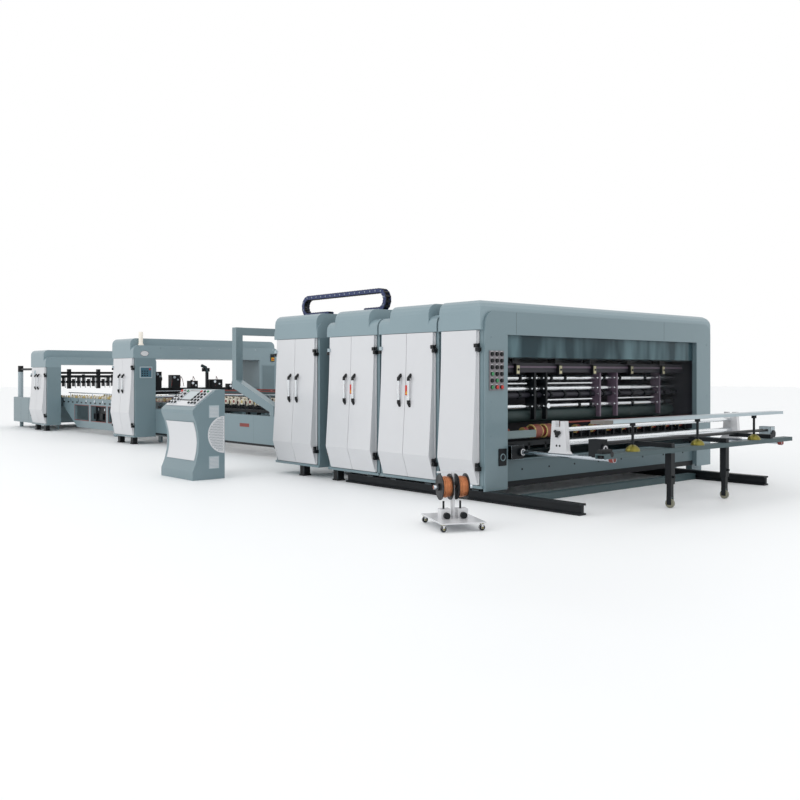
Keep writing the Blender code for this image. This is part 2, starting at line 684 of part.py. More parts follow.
def shaft_frame():
    """Tie shafts from wall to wall, the hanger plates on them and the head beam above."""
    inner = LINE_WIDTH / 2 - CABINET_DEPTH - TOUCH
    x = along(SHAFT_LINE)
    pieces = []
    beam_near, beam_far = HEAD_BEAM
    beam_low, beam_high = HEAD_BEAM_LOW, HEAD_BEAM_HIGH
    heights = [FEED_ROLL_HEIGHT + rise for rise in SHAFT_RISES]
    pieces.append(solid((along(beam_far), -inner, beam_low), (along(beam_near), inner, beam_high)))
    pieces += [rod((x, -inner, z), (x, inner, z), SHAFT_RADIUS, sides=12) for z in heights]
    over_roll = FEED_ROLL_HEIGHT + FEED_ROLL_RADIUS + LAP
    tip = FEED_ROLL_HEIGHT - HANGER_DROP
    front, back = along(beam_near) - 0.02, x - 0.05
    shin = along(FEED_ROLL_LINE - FEED_ROLL_RADIUS - HANGER_CLEAR)
    hanger = [(front, beam_low + LAP), (front, tip), (shin, tip), (shin, over_roll), (back, over_roll),
              (back, beam_low + LAP)]
    for place in HANGER_PLACES:
        pieces.append(slab(hanger, across(place), across(place) + HANGER_THICK, ALONG_PLANE))
    for place in HEAD_PLACES:
        cap = (along(beam_near) - 0.06, across(place) - 0.06, beam_high - LAP)
        pieces.append(solid(cap, (along(beam_near) + 0.06, across(place) + 0.07, beam_high + 0.05)))
        pieces.append(solid((along(beam_near) - LAP, across(place) + 0.03, beam_low - 0.03),
                            (along(beam_near) + 0.045, across(place) + 0.10, beam_high - 0.02)))
    return fuse("feeder_shaft_frame", "dark_green_paint", pieces)


def feed_roll():
    """The rubber feed roll, on journals that run in the two housings."""
    inner = LINE_WIDTH / 2 - CABINET_DEPTH - TOUCH
    shoulder = inner - 0.08
    journal = 0.03
    profile = [(-inner, journal), (-shoulder, journal), (-shoulder, FEED_ROLL_RADIUS),
               (shoulder, FEED_ROLL_RADIUS), (shoulder, journal), (inner, journal)]
    axle = (along(FEED_ROLL_LINE), 0, FEED_ROLL_HEIGHT)
    return put_origin(turned("feed_roll", profile, axle, "green_rubber", 24), axle)


def feed_wheels():
    """A shaft with a row of narrow feed wheels, turned as one profile."""
    inner = LINE_WIDTH / 2 - CABINET_DEPTH - TOUCH
    core = 0.02
    half_wheel = 0.03
    profile = [(-inner, core)]
    for i in range(WHEEL_COUNT):
        place = -inner + 2 * inner * (i + 0.5) / WHEEL_COUNT
        profile += [(place - half_wheel, core), (place - half_wheel, WHEEL_RADIUS),
                    (place + half_wheel, WHEEL_RADIUS), (place + half_wheel, core)]
    profile.append((inner, core))
    axle = (along(WHEEL_LINE), 0, WHEEL_HEIGHT)
    return put_origin(turned("feed_wheels", profile, axle, "red_rubber", 12), axle)


def glazing():
    """A smoked screen across the top of the feed mouth, and a lower pane on the right."""
    inner = LINE_WIDTH / 2 - CABINET_DEPTH - TOUCH
    pane = (along(0.075), along(0.067))
    bottom = SCREEN_BOTTOM
    middle = HEAD_BEAM_HIGH - LAP
    split = across(SCREEN_SPLIT)
    points = [(-inner, FEED_MOUTH_TOP + 0.03), (-inner, middle), (split, middle),
              (split, bottom), (inner, bottom), (inner, FEED_MOUTH_TOP + 0.03)]
    return slab(points, pane[0], pane[1], ACROSS_PLANE, "smoked_glass", "feeder_screen")


def control_panel():
    """The plate of push buttons on the near leg of the end plate."""
    face = along(0) + TOUCH
    width, height = PANEL_SIZE
    inset, middle = PANEL_CENTRE
    low_y, low_z = across(inset) - width / 2, middle - height / 2
    pieces = [solid((face, low_y, low_z), (face + 0.012, low_y + width, low_z + height))]
    rows, columns = 6, 3
    for row in range(rows):
        for column in range(columns):
            y = low_y + width * (column + 0.5) / columns
            z = low_z + height * (row + 0.5) / rows
            pieces.append(rod((face + 0.008, y, z), (face + 0.03, y, z), 0.017, sides=8))
    return fuse("feeder_button_panel", "aluminium", pieces)


# Rails and the floor tie

def rails():
    low_x, high_x = along(after(UNITS["printer_b"], -RAIL_END)), along(-RAIL_RUNS_UPSTREAM)
    made = []
    for name, (near, far) in (("floor_rail_near", RAIL_NEAR), ("floor_rail_far", RAIL_FAR)):
        foot = 0.02
        web = 0.02
        middle = (across(near) + across(far)) / 2
        flange = solid((low_x, across(near), 0), (high_x, across(far), foot))
        post = solid((low_x, middle - web, foot - LAP), (high_x, middle + web, RAIL_HEIGHT - LAP))
        head = solid((low_x, across(near), RAIL_HEIGHT - foot), (high_x, across(far), RAIL_HEIGHT))
        made.append(fuse(name, "black_steel", [flange, post, head]))
    solid((-TIE_HALF, across(RAIL_NEAR[1]) + TOUCH, 0),
          (TIE_HALF, across(RAIL_FAR[0]) - TOUCH, TIE_HEIGHT), "dark_green_paint", "floor_cross_tie")
    return made


# Feed table: side rails, the guide frame on them, the carriage and the wheeled stand

def side_rail(name, inset, inward):
    """A round rail along the line, held in a block on the inner wall of a housing."""
    y = across(inset)
    wall = across(CABINET_DEPTH) if inward > 0 else -across(CABINET_DEPTH)
    face = wall + inward * TOUCH
    rail = rod((along(0.1), y, SIDE_RAIL_HEIGHT), (along(-SIDE_RAIL_REACH), y, SIDE_RAIL_HEIGHT),
               SIDE_RAIL_RADIUS)
    block = solid((along(0.09), min(face, y + inward * 0.05), SIDE_RAIL_HEIGHT - 0.08),
                  (along(-0.06), max(face, y + inward * 0.05), SIDE_RAIL_HEIGHT + 0.08))
    collar = rod((along(-0.05), y, SIDE_RAIL_HEIGHT), (along(-0.09), y, SIDE_RAIL_HEIGHT), 0.05)
    knob = rod((along(-SIDE_RAIL_REACH + 0.01), y, SIDE_RAIL_HEIGHT),
               (along(-SIDE_RAIL_REACH - 0.05), y, SIDE_RAIL_HEIGHT), 0.032)
    return fuse(name, "chrome", [rail, block, collar, knob])


def guide_frame():
    """Two forked white brackets on the side rails, with two cross tubes between them."""
    x = along(-BRACKET_REACH)
    z = RAIL_TOP
    fork = [(-0.151, 0), (-0.118, 0.035), (-0.09, 0.367), (-0.04, 0.367), (-0.04, 0.3), (0.03, 0.3),
            (0.03, 0.367), (0.09, 0.367), (0.118, 0.035), (0.151, 0)]
    outline = [(x + u, z + v) for u, v in fork]
    pieces = []
    for middle in (across(SIDE_RAIL_INSET), -across(SIDE_RAIL_INSET)):
        pieces.append(slab(outline, middle - BRACKET_THICK / 2, middle + BRACKET_THICK / 2,
                           ALONG_PLANE))
    reach = -across(SIDE_RAIL_INSET)
    for height, radius in GUIDE_TUBES:
        pieces.append(rod((x, -reach, height), (x, reach, height), radius))
    return fuse("feed_guide_frame", "white_paint", pieces)


def feed_carriage():
    """Bearing blocks on the side rails, two cross rods, and arms that lie on the stand."""
    x = along(-CARRIAGE_REACH)
    reach = -across(SIDE_RAIL_INSET)
    pieces = [rod((x + shift, -reach, CARRIAGE_HEIGHT), (x + shift, reach, CARRIAGE_HEIGHT), 0.016,
                  sides=12) for shift in (-0.035, 0.035)]
    for y in (-reach, reach):
        pieces.append(solid((x - 0.08, y - 0.06, RAIL_TOP), (x + 0.08, y + 0.06, CARRIAGE_HEIGHT + 0.05)))
        pieces.append(rod((x + 0.07, y, 0.66), (x + 0.1, y, 0.66), 0.05))
    arm_low = STAND_BEAM[1] + TOUCH
    near, far = STAND_SPAN
    for share in CARRIAGE_ARM_SHARES:
        y = across(near + (far - near) * share)
        pieces.append(solid((x - 0.06, y - 0.03, arm_low),
                            (along(-STAND_REACH) + 0.04, y + 0.03, CARRIAGE_HEIGHT)))
    return fuse("feed_carriage", "chrome", pieces)


def castor(x, y, wheel_radius, mount_height, width=0.03):
    """A fork and a wheel that stand on the floor, under a plate at mount_height."""
    axle = wheel_radius
    fork_half = width / 2 + 0.012
    cheek = wheel_radius * 0.5
    pieces = [rod((x, y - width / 2, axle), (x, y + width / 2, axle), wheel_radius, sides=16)]
    crown = 2 * wheel_radius + 0.004
    pieces.append(solid((x - cheek, y - fork_half, crown), (x + cheek, y + fork_half, mount_height)))
    for side in (-1, 1):
        inner = y + side * (width / 2 - 0.002)
        outer = y + side * fork_half
        pieces.append(solid((x - cheek * 0.6, min(inner, outer), axle * 0.7),
                            (x + cheek * 0.6, max(inner, outer), crown + 0.004)))
    return pieces


def table_stand():
    """The long beam of the feed table on two telescopic legs with castors."""
    x = along(-STAND_REACH)
    low, high = STAND_BEAM
    half = STAND_BEAM_WIDTH / 2
    lip = 0.012
    channel = [(x - half, low), (x - half, high), (x + half, high), (x + half, low),
               (x + half - lip, low), (x + half - lip, high - lip), (x - half + lip, high - lip),
               (x - half + lip, low)]
    pieces = [slab(channel, across(STAND_SPAN[0]), across(STAND_SPAN[1]), ALONG_PLANE)]
    near, far = STAND_SPAN
    for share in LEG_SHARES:
        y = across(near + (far - near) * share)
        sleeve = LEG_WIDTH / 2
        inner_leg = sleeve * 0.7
        pieces.append(solid((x - sleeve, y - sleeve, 0.26), (x + sleeve, y + sleeve, high - lip / 2)))
        pieces.append(solid((x - inner_leg, y - inner_leg, 0.12), (x + inner_leg, y + inner_leg, 0.27)))
        pieces += castor(x, y, LEG_CASTOR_RADIUS, 0.13, 0.036)
    return fuse("table_stand", "dark_green_paint", pieces)


def edge_guide():
    """The long guide bar, on jack rods that stand in domes on the stand."""
    x = along(-STAND_REACH)
    low, high = BAR_HEIGHTS
    pieces = [solid((x - BAR_WIDTH / 2, across(BAR_SPAN[0]), low),
                    (x + BAR_WIDTH / 2, across(BAR_SPAN[1]), high))]
    seat = STAND_BEAM[1] + TOUCH
    near, far = BAR_SPAN
    foot, crown, rise = JACK_DOME
    for share in JACK_SHARES:
        y = across(near + (far - near) * share)
        pieces.append(rod((x, y, seat), (x, y, seat + rise), foot, tip=crown, sides=16))
        pieces.append(rod((x, y, seat + rise - LAP), (x, y, seat + rise + 0.02), crown, tip=0.016, sides=16))
        pieces.append(rod((x, y, seat + 0.05), (x, y, low + LAP), 0.012, sides=12))
    return fuse("edge_guide_bar", "aluminium", pieces)


# Folding section: side beams on legs, belt carriers with wheels, and the gate

def folding_bed():
    """Two deep side beams on legs, tied by cross members that carry posts for the belts."""
    low, high = BED_BEAM
    upstream, downstream = BED_SPAN
    outer = -across(BED_INSET)
    inner = outer - BED_BEAM_THICK
    pieces = []
    for side in (-1, 1):
        near, far = sorted((side * outer, side * inner))
        pieces.append(solid((along(downstream), near, low), (along(upstream), far, high)))
        for place in BED_LEG_PLACES:
            pieces.append(solid((along(place) - 0.06, near + 0.02, 0),
                                (along(place) + 0.06, far - 0.02, low + LAP)))
    tie_low, tie_high = CROSS_MEMBER
    for place in CROSS_MEMBER_PLACES:
        pieces.append(solid((along(place) - 0.06, -inner - LAP, tie_low),
                            (along(place) + 0.06, inner + LAP, tie_high)))
        for y in (-CARRIER_PLACE, CARRIER_PLACE):
            pieces.append(solid((along(place) - 0.05, y - CARRIER_HALF, tie_high - LAP),
                                (along(place) + 0.05, y + CARRIER_HALF, CARRIER_SEAT)))
    conveyor_end = along(COUNTING_SPAN[0] - TOUCH)
    pieces.append(solid((conveyor_end, -inner - LAP, tie_low),
                        (conveyor_end + 0.12, inner + LAP, tie_high)))
    return fuse("folding_bed", "grey_paint", pieces)


def folding_carriers():
    """Two belt carriers along the line on the bed's posts, with rows of small wheels."""
    upstream, downstream = CARRIER_SPAN
    base = CARRIER_SEAT + TOUCH
    axle = CARRIER_TOP - 0.06
    first, last = upstream + 0.25, downstream - 0.25
    step = (last - first) / (CARRIER_WHEELS - 1)
    pieces = []
    for y in (-CARRIER_PLACE, CARRIER_PLACE):
        pieces.append(solid((along(downstream), y - CARRIER_HALF, base),
                            (along(upstream), y + CARRIER_HALF, CARRIER_TOP)))
        inward = -math.copysign(1, y)
        wheel = [(0, 0.012), (inward * 0.08, 0.012), (inward * 0.08, CARRIER_WHEEL_RADIUS),
                 (inward * 0.13, CARRIER_WHEEL_RADIUS)]
        row = [turned("wheel", wheel, (along(first + i * step), y, axle), "red_rubber", 8)
               for i in range(CARRIER_WHEELS)]
        pieces.append(gather(row))
    for place in (upstream + 0.1, first + (CARRIER_WHEELS // 2 + 0.5) * step, downstream - 0.1):
        pieces.append(rod((along(place), -CARRIER_PLACE, base + 0.05),
                          (along(place), CARRIER_PLACE, base + 0.05), 0.02, sides=10))
    return fuse("folding_carriers", "red_rubber", pieces)


def gate():
    """A frame over the bed, whose two posts end in raking arms that stand on the side beams."""
    x = along(GATE_LINE)
    seat = BED_BEAM[1] + TOUCH
    half = GATE_TUBE / 2
    post_y = -across(BED_INSET) - BED_BEAM_THICK / 2
    pieces = []
    for middle in (-post_y, post_y):
        knee_low, knee_high = GATE_KNEE
        foot_low, foot_high = GATE_BRACE_FOOT
        foot = x + GATE_BRACE_RUN
        side = [(x - half, GATE_TOP), (x - half, knee_low), (foot - GATE_FOOT_LENGTH, foot_low),
                (foot - GATE_FOOT_LENGTH, seat), (foot, seat), (foot, foot_high), (x + half, knee_high),
                (x + half, GATE_TOP)]
        pieces.append(slab(side, middle - half, middle + half, ALONG_PLANE))
    pieces.append(solid((x - half * 0.98, -post_y, GATE_TOP - GATE_TUBE),
                        (x + half * 0.98, post_y, GATE_TOP - 0.002)))
    return fuse("folding_gate", "grey_paint", pieces)


# Stitching and counting portals, each with a cabinet on the operator's side

def portal(name, unit):
    """The beam over a passage, its post on the drive side, and a raised roof behind its front frame."""
    high_x = along(unit["start"])
    low_x = along(unit["start"] + unit["length"])
    half = LINE_WIDTH / 2 - unit["inset"]
    post = half - unit["depth"]
    seat = unit["door_top"] + DOOR_TOP_GAP
    radius = SHOULDER_ROUND

    def top_at(roof):
        return (arc(half - radius, roof - radius, radius, 0, 90)
                + arc(-half + radius, roof - radius, radius, 90, 180))
    frame = [(-half, seat), (-post + TOUCH, seat), (-post + TOUCH, unit["beam"]),
             (post, unit["beam"]), (post, CABINET_BOTTOM), (half, CABINET_BOTTOM)]
    inside = unit["beam"] + 0.05
    pieces = [slab(frame + top_at(unit["roof"]), low_x, high_x, ACROSS_PLANE),
              slab([(-half, inside), (half, inside)] + top_at(unit["raised"]), low_x,
                   high_x - PORTAL_FRONT, ACROSS_PLANE)]
    for share in (0.2, 0.8):
        x = low_x + (high_x - low_x) * share
        pieces.append(solid((x - 0.05, post + 0.1, 0), (x + 0.05, post + 0.2, CABINET_BOTTOM + LAP)))
    return fuse(name + "_portal", "grey_paint", pieces)


def passage(unit):
    """World Y of the near side of a portal's passage; the far side is its mirror image."""
    return across(unit["inset"] + unit["depth"]) + TOUCH


def stitch_beam(unit):
    """The cross beam of the stitching unit, with its stitching heads and arm."""
    x = along(unit["start"] + unit["length"] * 0.43)
    wall = passage(unit)
    low, top = STITCH_BEAM
    pieces = [solid((x - 0.08, wall, low), (x + 0.08, -wall, top))]
    for place, height, width in STITCH_HEADS:
        y = wall + place
        pieces.append(solid((x - 0.07, y - width / 2, top - LAP), (x + 0.1, y + width / 2, top + height)))
        if height > 0.2:
            motor = top + height * 0.55
            pieces.append(rod((x - 0.02, y, motor), (x - 0.02, y + width / 2 + 0.05, motor), 0.05, sides=12))
    y = wall + STITCH_ARM
    tip = top + STITCH_ARM_RISE
    pieces.append(solid((x - 0.03, y - 0.025, top - LAP), (x + 0.03, y + 0.025, tip - 0.02)))
    pieces.append(solid((x - 0.035, y - 0.11, tip - 0.08), (x + 0.035, y + 0.05, tip)))
    return fuse("stitching_heads", "black_steel", pieces)


def carriage_bars(unit):
    """Two bars across the counting unit, with the arms that they carry."""
    x = along(unit["start"] + unit["length"] * 0.47)
    wall = passage(unit)
    low, high = CARRIAGE_BARS
    pieces = [rod((x, wall, z), (x, -wall, z), CARRIAGE_BAR_RADIUS, sides=12) for z in CARRIAGE_BARS]
    for place in CARRIAGE_ARMS:
        y = wall + place
        pieces.append(solid((x - 0.05, y - 0.04, low - 0.18), (x + 0.05, y + 0.04, high + 0.1)))
    return fuse("counter_carriage", "black_steel", pieces)


def counting_conveyor():
    """Side frames with windows and a cut-away end, on legs, with rollers between them."""
    upstream, downstream = COUNTING_SPAN
    outer = -across(COUNTING_INSET)
    low, high = COUNTING_FRAME
    length = downstream - upstream

    def at(share):
        return along(upstream + length * share)
    shares = COUNTING_SHARES
    outline = [(at(0), low), (at(shares["cut"]), low), (at(shares["rise"]), COUNTING_END_LOW),
               (at(1), COUNTING_END_LOW), (at(1), high), (at(0), high)]
    window_low, window_high = COUNTING_WINDOW
    pieces = []
    for side in (-1, 1):
        near, far = sorted((side * outer, side * (outer - COUNTING_FRAME_THICK)))
        frame = slab(outline, near, far, ALONG_PLANE)
        windows = []
        for i in range(COUNTING_WINDOWS):
            start = shares["first_window"] + shares["pitch"] * i
            windows.append(solid((at(start + shares["window"]), near - 0.1, window_low),
                                 (at(start), far + 0.1, window_high)))
        pieces.append(cut(frame, windows))
        wall = -passage(PORTALS["counter"])
        bracket_near, bracket_far = sorted((side * wall, side * (outer - LAP)))
        bracket = along(PORTALS["counter"]["start"] + 0.5)
        pieces.append(solid((bracket - 0.05, bracket_near, COUNTING_END_LOW + 0.02),
                            (bracket + 0.05, bracket_far, COUNTING_END_LOW + 0.12)))
        legs = [(share, low) for share in COUNTING_LEG_SHARES]
        for share, height in [*legs, (COUNTING_END_LEG_SHARE, COUNTING_END_LOW)]:
            pieces.append(solid((at(share) - 0.05, near + 0.005, 0),
                                (at(share) + 0.05, far - 0.005, height + LAP)))
    reach = outer - COUNTING_FRAME_THICK / 2
    axle = high - 0.06
    for i in range(COUNTING_ROLLERS):
        x = along(upstream + 0.12 + (downstream - upstream - 0.24) * i / (COUNTING_ROLLERS - 1))
        pieces.append(rod((x, -reach, axle), (x, reach, axle), 0.04, sides=8))
    return fuse("counting_conveyor", "grey_paint", pieces)


def delivery_table():
    """The closed table at the end of the line, with its sensor post."""
    upstream = COUNTING_SPAN[1] + TOUCH
    downstream = upstream + DELIVERY_LENGTH
    half = LINE_WIDTH / 2 - DELIVERY_INSET
    top = DELIVERY_TOP
    pieces = [solid((along(downstream), -half, CABINET_BOTTOM), (along(upstream), half, top))]
    for place in (upstream + 0.2, downstream - 0.2):
        for y in (-half + 0.15, half - 0.15):
            pieces.append(rod((along(place), y, 0), (along(place), y, CABINET_BOTTOM + LAP), 0.05,
                              sides=12))
    post_x, post_y = along(downstream - SENSOR_FROM_END), -half + SENSOR_INSET
    arm = top + SENSOR_ARM_RISE
    pieces.append(rod((post_x, post_y, top - LAP), (post_x, post_y, arm - 0.05), 0.07))
    pieces.append(rod((post_x, post_y, arm - 0.06), (post_x, post_y, arm + 0.1), 0.055))
    pieces.append(rod((post_x, post_y, arm), (along(upstream), post_y, arm), 0.03, sides=12))
    return fuse("delivery_table", "grey_paint", pieces)


def signal_lamp(unit):
    """The lamp on the front frame of the stitching unit, on a round foot."""
    seat = unit["roof"] + TOUCH
    radius, height = LAMP_SIZE
    place = (along(unit["start"] + LAMP_PLACE[0]), across(unit["inset"] + LAMP_PLACE[1]))
    pieces = [rod((*place, seat), (*place, seat + 0.03), radius + 0.015),
              rod((*place, seat + 0.02), (*place, seat + height), radius)]
    return fuse("signal_lamp", "lamp_lens", pieces)


# Console, wire spool cart and cable chain

def console():
    """A desk with a waisted front and a sloping top, and the panel that lies on the slope."""
    high_x, low_x = along(CONSOLE_SPAN[0]), along(CONSOLE_SPAN[1])
    side = [(0.0, 0.0), *CONSOLE_WAIST, (0.0, CONSOLE_LIP - 0.03), (0.03, CONSOLE_LIP),
            (CONSOLE_SHELF, CONSOLE_HEIGHT), (CONSOLE_DEPTH, CONSOLE_HEIGHT), (CONSOLE_DEPTH, 0.0)]
    slab(place_profile(side, CONSOLE_FRONT), low_x, high_x, ACROSS_PLANE, "grey_paint", "console_body")
    start, end = Vector((0.03, CONSOLE_LIP)), Vector((CONSOLE_SHELF, CONSOLE_HEIGHT))
    slope = (end - start).normalized()
    out = Vector((-slope.y, slope.x))
    near, far = start + slope * 0.03 + out * TOUCH, end - slope * 0.03 + out * TOUCH
    thick = out * 0.012
    margin = 0.05
    panel = slab(place_profile([near, far, far + thick, near + thick], CONSOLE_FRONT),
                 low_x + margin, high_x - margin, ACROSS_PLANE)
    pieces = [panel]
    columns, rows = 5, 2
    for row in range(rows):
        for column in range(columns):
            share = 0.2 + 0.62 * column / (columns - 1)
            base = near + (far - near) * share + thick * 0.5
            tip = base + out * 0.025
            x = low_x + 0.2 if row == 0 else high_x - 0.2
            pieces.append(rod((x, across(CONSOLE_FRONT + base.x), base.y),
                              (x, across(CONSOLE_FRONT + tip.x), tip.y), 0.018, sides=8))
    fuse("console_top_panel", "white_paint", pieces)


def turned_with_cart(piece):
    """Turn a piece drawn square to the line onto the cart."""
    middle = Vector((along(-CART_CENTRE[0]), across(CART_CENTRE[1]), 0))
    piece.data.transform(Matrix.Translation(middle) @ Matrix.Rotation(CART_TURN, 4, "Z"))
    return piece


def spool_cart():
    """A plate on four castors, with a central stand that holds the spool axle."""
    half_u, half_v = CART_SIZE[0] / 2, CART_SIZE[1] / 2
    low, high = CART_PLATE
    pieces = [solid((-half_u, -half_v, low), (half_u, half_v, high))]
    for u in (-half_u + 0.03, half_u - 0.03):
        for v in (-half_v + 0.04, half_v - 0.04):
            pieces += castor(u, v, 0.03, low + 0.004, 0.02)
    axle = SPOOL_AXLE_HEIGHT
    post = 0.012
    pieces.append(solid((-post, -0.03, high - 0.004), (post, 0.03, axle + 0.02)))
    for u in (-SPOOL_APART / 2 - 0.005, SPOOL_APART / 2 + 0.005):
        pieces.append(solid((u - 0.05, -0.06, high - 0.004), (u + 0.05, 0.05, high + 0.09)))
        pieces.append(rod((u, -0.1, high + 0.03), (u, -0.055, high + 0.03), 0.03, sides=12))
    pieces.append(solid((-0.16, -0.008, axle + 0.135), (0.16, 0.008, axle + 0.151)))
    pieces.append(solid((-post, -0.012, axle), (post, 0.012, axle + 0.14)))
    cart = fuse("spool_cart", "white_paint", pieces)
    bore = rod((-0.05, 0, axle), (0.05, 0, axle), 0.011, sides=16)
    cart = cut(cart, [bore])
    return turned_with_cart(cart)


def wire_spools():
    """Two wound spools on one axle, turned as one profile."""
    def spool(start, end):
        flange = 0.008
        return [(start, 0.02), (start, SPOOL_RADIUS), (start + flange, SPOOL_RADIUS),
                (start + flange, SPOOL_CORE), (end - flange, SPOOL_CORE), (end - flange, SPOOL_RADIUS),
                (end, SPOOL_RADIUS), (end, 0.02)]
    first = SPOOL_APART / 2 - SPOOL_WIDTH / 2
    last = first + SPOOL_WIDTH
    tip = last + 0.06
    profile = ([(-tip, 0.02)] + spool(-last, -first)[:-1] + [(-first, 0.01), (first, 0.01)]
               + spool(first, last)[1:] + [(tip, 0.02)])
    spools = turned("wire_spools", profile, (0, 0, SPOOL_AXLE_HEIGHT), "copper_wire", 24)
    spools.data.transform(Matrix.Rotation(-math.pi / 2, 4, "Z"))
    axle = (along(-CART_CENTRE[0]), across(CART_CENTRE[1]), SPOOL_AXLE_HEIGHT)
    return put_origin(turned_with_cart(spools), axle)


def cable_chain():
    """The energy chain over the printing units: one fixed loop lying on two roofs."""
    half = CHAIN_THICK / 2
    seat = RIDGE_TOP + TOUCH + half
    bend = CHAIN_BEND
    right, left = CHAIN_ENDS
    path = [(along(left - CHAIN_LANDING), seat)]
    path += [(along(left) - bend * math.sin(a), seat + bend - bend * math.cos(a))
             for a in [math.pi * i / 8 for i in range(9)]]
    path += [(along(right) + bend * math.sin(a), seat + bend + bend * math.cos(a))
             for a in [math.pi * i / 8 for i in range(9)]]
    path.append((along(right + CHAIN_START), seat))
    outer, inner = [], []
    for i, place in enumerate(path):
        previous = Vector(path[max(i - 1, 0)])
        following = Vector(path[min(i + 1, len(path) - 1)])
        run = (following - previous).normalized()
        normal = Vector((-run.y, run.x)) * half
        outer.append(Vector(place) + normal)
        inner.append(Vector(place) - normal)
    low_y = across(CHAIN_INSET) - CHAIN_WIDTH / 2
    return slab(outer + inner[::-1], low_y, low_y + CHAIN_WIDTH, ALONG_PLANE, "blue_chain", "cable_chain")


# Assembly

FLOOR = -TOUCH
rails()
unit_feet = {"feeder": [(0.2, RAIL_HEIGHT), (0.8, RAIL_HEIGHT)],
             "printer_a": [(0.2, RAIL_HEIGHT), (0.8, RAIL_HEIGHT)],
             "printer_b": [(0.11, FLOOR), (0.8, RAIL_HEIGHT)],
             "slotter": [(0.58, FLOOR)]}
for unit_name, unit in UNITS.items():
    cabinet(unit_name, unit, unit_feet[unit_name])
    doors(unit_name, unit)
    drive_casing(unit_name, unit)
    hood(unit_name, unit)
    base_beam(unit_name, unit, FLOOR if unit_name == "slotter" else RAIL_HEIGHT)
printing_roll("printer_a", UNITS["printer_a"])
end_plate()
shaft_frame()
feed_roll()
feed_wheels()
glazing()
control_panel()
side_rail("side_rail_near", SIDE_RAIL_INSET, 1)
side_rail("side_rail_far", LINE_WIDTH - SIDE_RAIL_INSET, -1)
guide_frame()
feed_carriage()
table_stand()
edge_guide()
folding_bed()
folding_carriers()
gate()
for unit_name, unit in PORTALS.items():
    cabinet(unit_name, unit, [(0.2, FLOOR), (0.8, FLOOR)])
    doors(unit_name, unit)
    portal(unit_name, unit)
stitch_beam(PORTALS["stitcher"])
signal_lamp(PORTALS["stitcher"])
carriage_bars(PORTALS["counter"])
counting_conveyor()
delivery_table()
console()
spool_cart()
wire_spools()
cable_chain()
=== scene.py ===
# Looks of the corrugated box printing, folding and stitching line.
# +X points upstream to the feed table, +Y across to the drive side, +Z up, in metres.
# Places along the line are distances downstream of the feed face.
# Places across it are distances from the operator's side.

import json
import math

import bmesh
import bpy
from mathutils import Matrix, Vector


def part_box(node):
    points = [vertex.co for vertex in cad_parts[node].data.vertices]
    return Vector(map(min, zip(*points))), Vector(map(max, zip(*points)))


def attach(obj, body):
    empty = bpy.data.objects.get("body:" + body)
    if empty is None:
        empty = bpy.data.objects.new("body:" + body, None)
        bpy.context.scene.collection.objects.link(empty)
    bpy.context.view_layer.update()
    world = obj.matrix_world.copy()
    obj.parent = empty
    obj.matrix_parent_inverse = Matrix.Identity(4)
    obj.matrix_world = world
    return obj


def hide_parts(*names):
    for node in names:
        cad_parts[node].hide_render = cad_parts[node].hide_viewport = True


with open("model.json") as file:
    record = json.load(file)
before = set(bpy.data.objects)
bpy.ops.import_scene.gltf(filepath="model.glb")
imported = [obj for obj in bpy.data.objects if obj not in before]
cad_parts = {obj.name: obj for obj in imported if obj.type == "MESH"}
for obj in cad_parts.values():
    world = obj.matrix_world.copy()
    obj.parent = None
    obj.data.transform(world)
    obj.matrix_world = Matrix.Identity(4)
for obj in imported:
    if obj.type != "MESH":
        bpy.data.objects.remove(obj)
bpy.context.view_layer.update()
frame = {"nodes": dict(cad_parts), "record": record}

ROOT = "line"
MM = 0.001
FEED_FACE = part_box("feeder_end_plate")[1].x
OPERATOR_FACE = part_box("feeder_hood")[0].y
LINE_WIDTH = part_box("feeder_hood")[1].y - OPERATOR_FACE
# Height where the smoked screen turns nearly opaque, inset of the walls of the feeder's mouth, and the
# angle between the cart's axle and the line
SCREEN_BAND = 1.665
WALL = 0.4303
CART_TURN = math.radians(64.5)


def along(distance):
    """World X of a distance downstream of the feed face."""
    return FEED_FACE - distance


def across(inset):
    """World Y of a distance from the operator's side."""
    return OPERATOR_FACE + inset


def at(distance, inset, height):
    """World place of a distance downstream, an inset from the operator's side and a height."""
    return along(distance), across(inset), height


# Camera and studio

CAMERA_UPSTREAM = 7.213
CAMERA_OUT = -7.525
EYE_HEIGHT = 1.47
PHOTO_SIDE = 800
FOCAL_PIXELS = 910
HORIZON_ROW = 374
SENSOR = 36.0
AIM_DEGREES = 48.95
OPERATOR_WATTS = 420
FEED_WATTS = 90


def set_camera():
    lens = bpy.data.cameras.new("camera")
    lens.sensor_width = SENSOR
    lens.lens = SENSOR * FOCAL_PIXELS / PHOTO_SIDE
    lens.shift_y = -(PHOTO_SIDE / 2 - HORIZON_ROW) / PHOTO_SIDE
    lens.clip_end = 200
    camera = bpy.data.objects.new("camera", lens)
    camera.location = (along(-CAMERA_UPSTREAM), across(CAMERA_OUT), EYE_HEIGHT)
    camera.rotation_euler = (math.radians(90), 0, math.radians(AIM_DEGREES))
    bpy.context.scene.collection.objects.link(camera)
    bpy.context.scene.camera = camera


def add_softbox(name, place, target, side, watts, tint):
    """A square lamp of a given side in metres that points at a target."""
    lamp = bpy.data.lights.new(name, "AREA")
    lamp.shape = "SQUARE"
    lamp.size = side
    lamp.energy = watts
    lamp.color = tint
    holder = bpy.data.objects.new(name, lamp)
    holder.location = place
    holder.rotation_euler = (Vector(target) - Vector(place)).to_track_quat("-Z", "Y").to_euler()
    bpy.context.scene.collection.objects.link(holder)


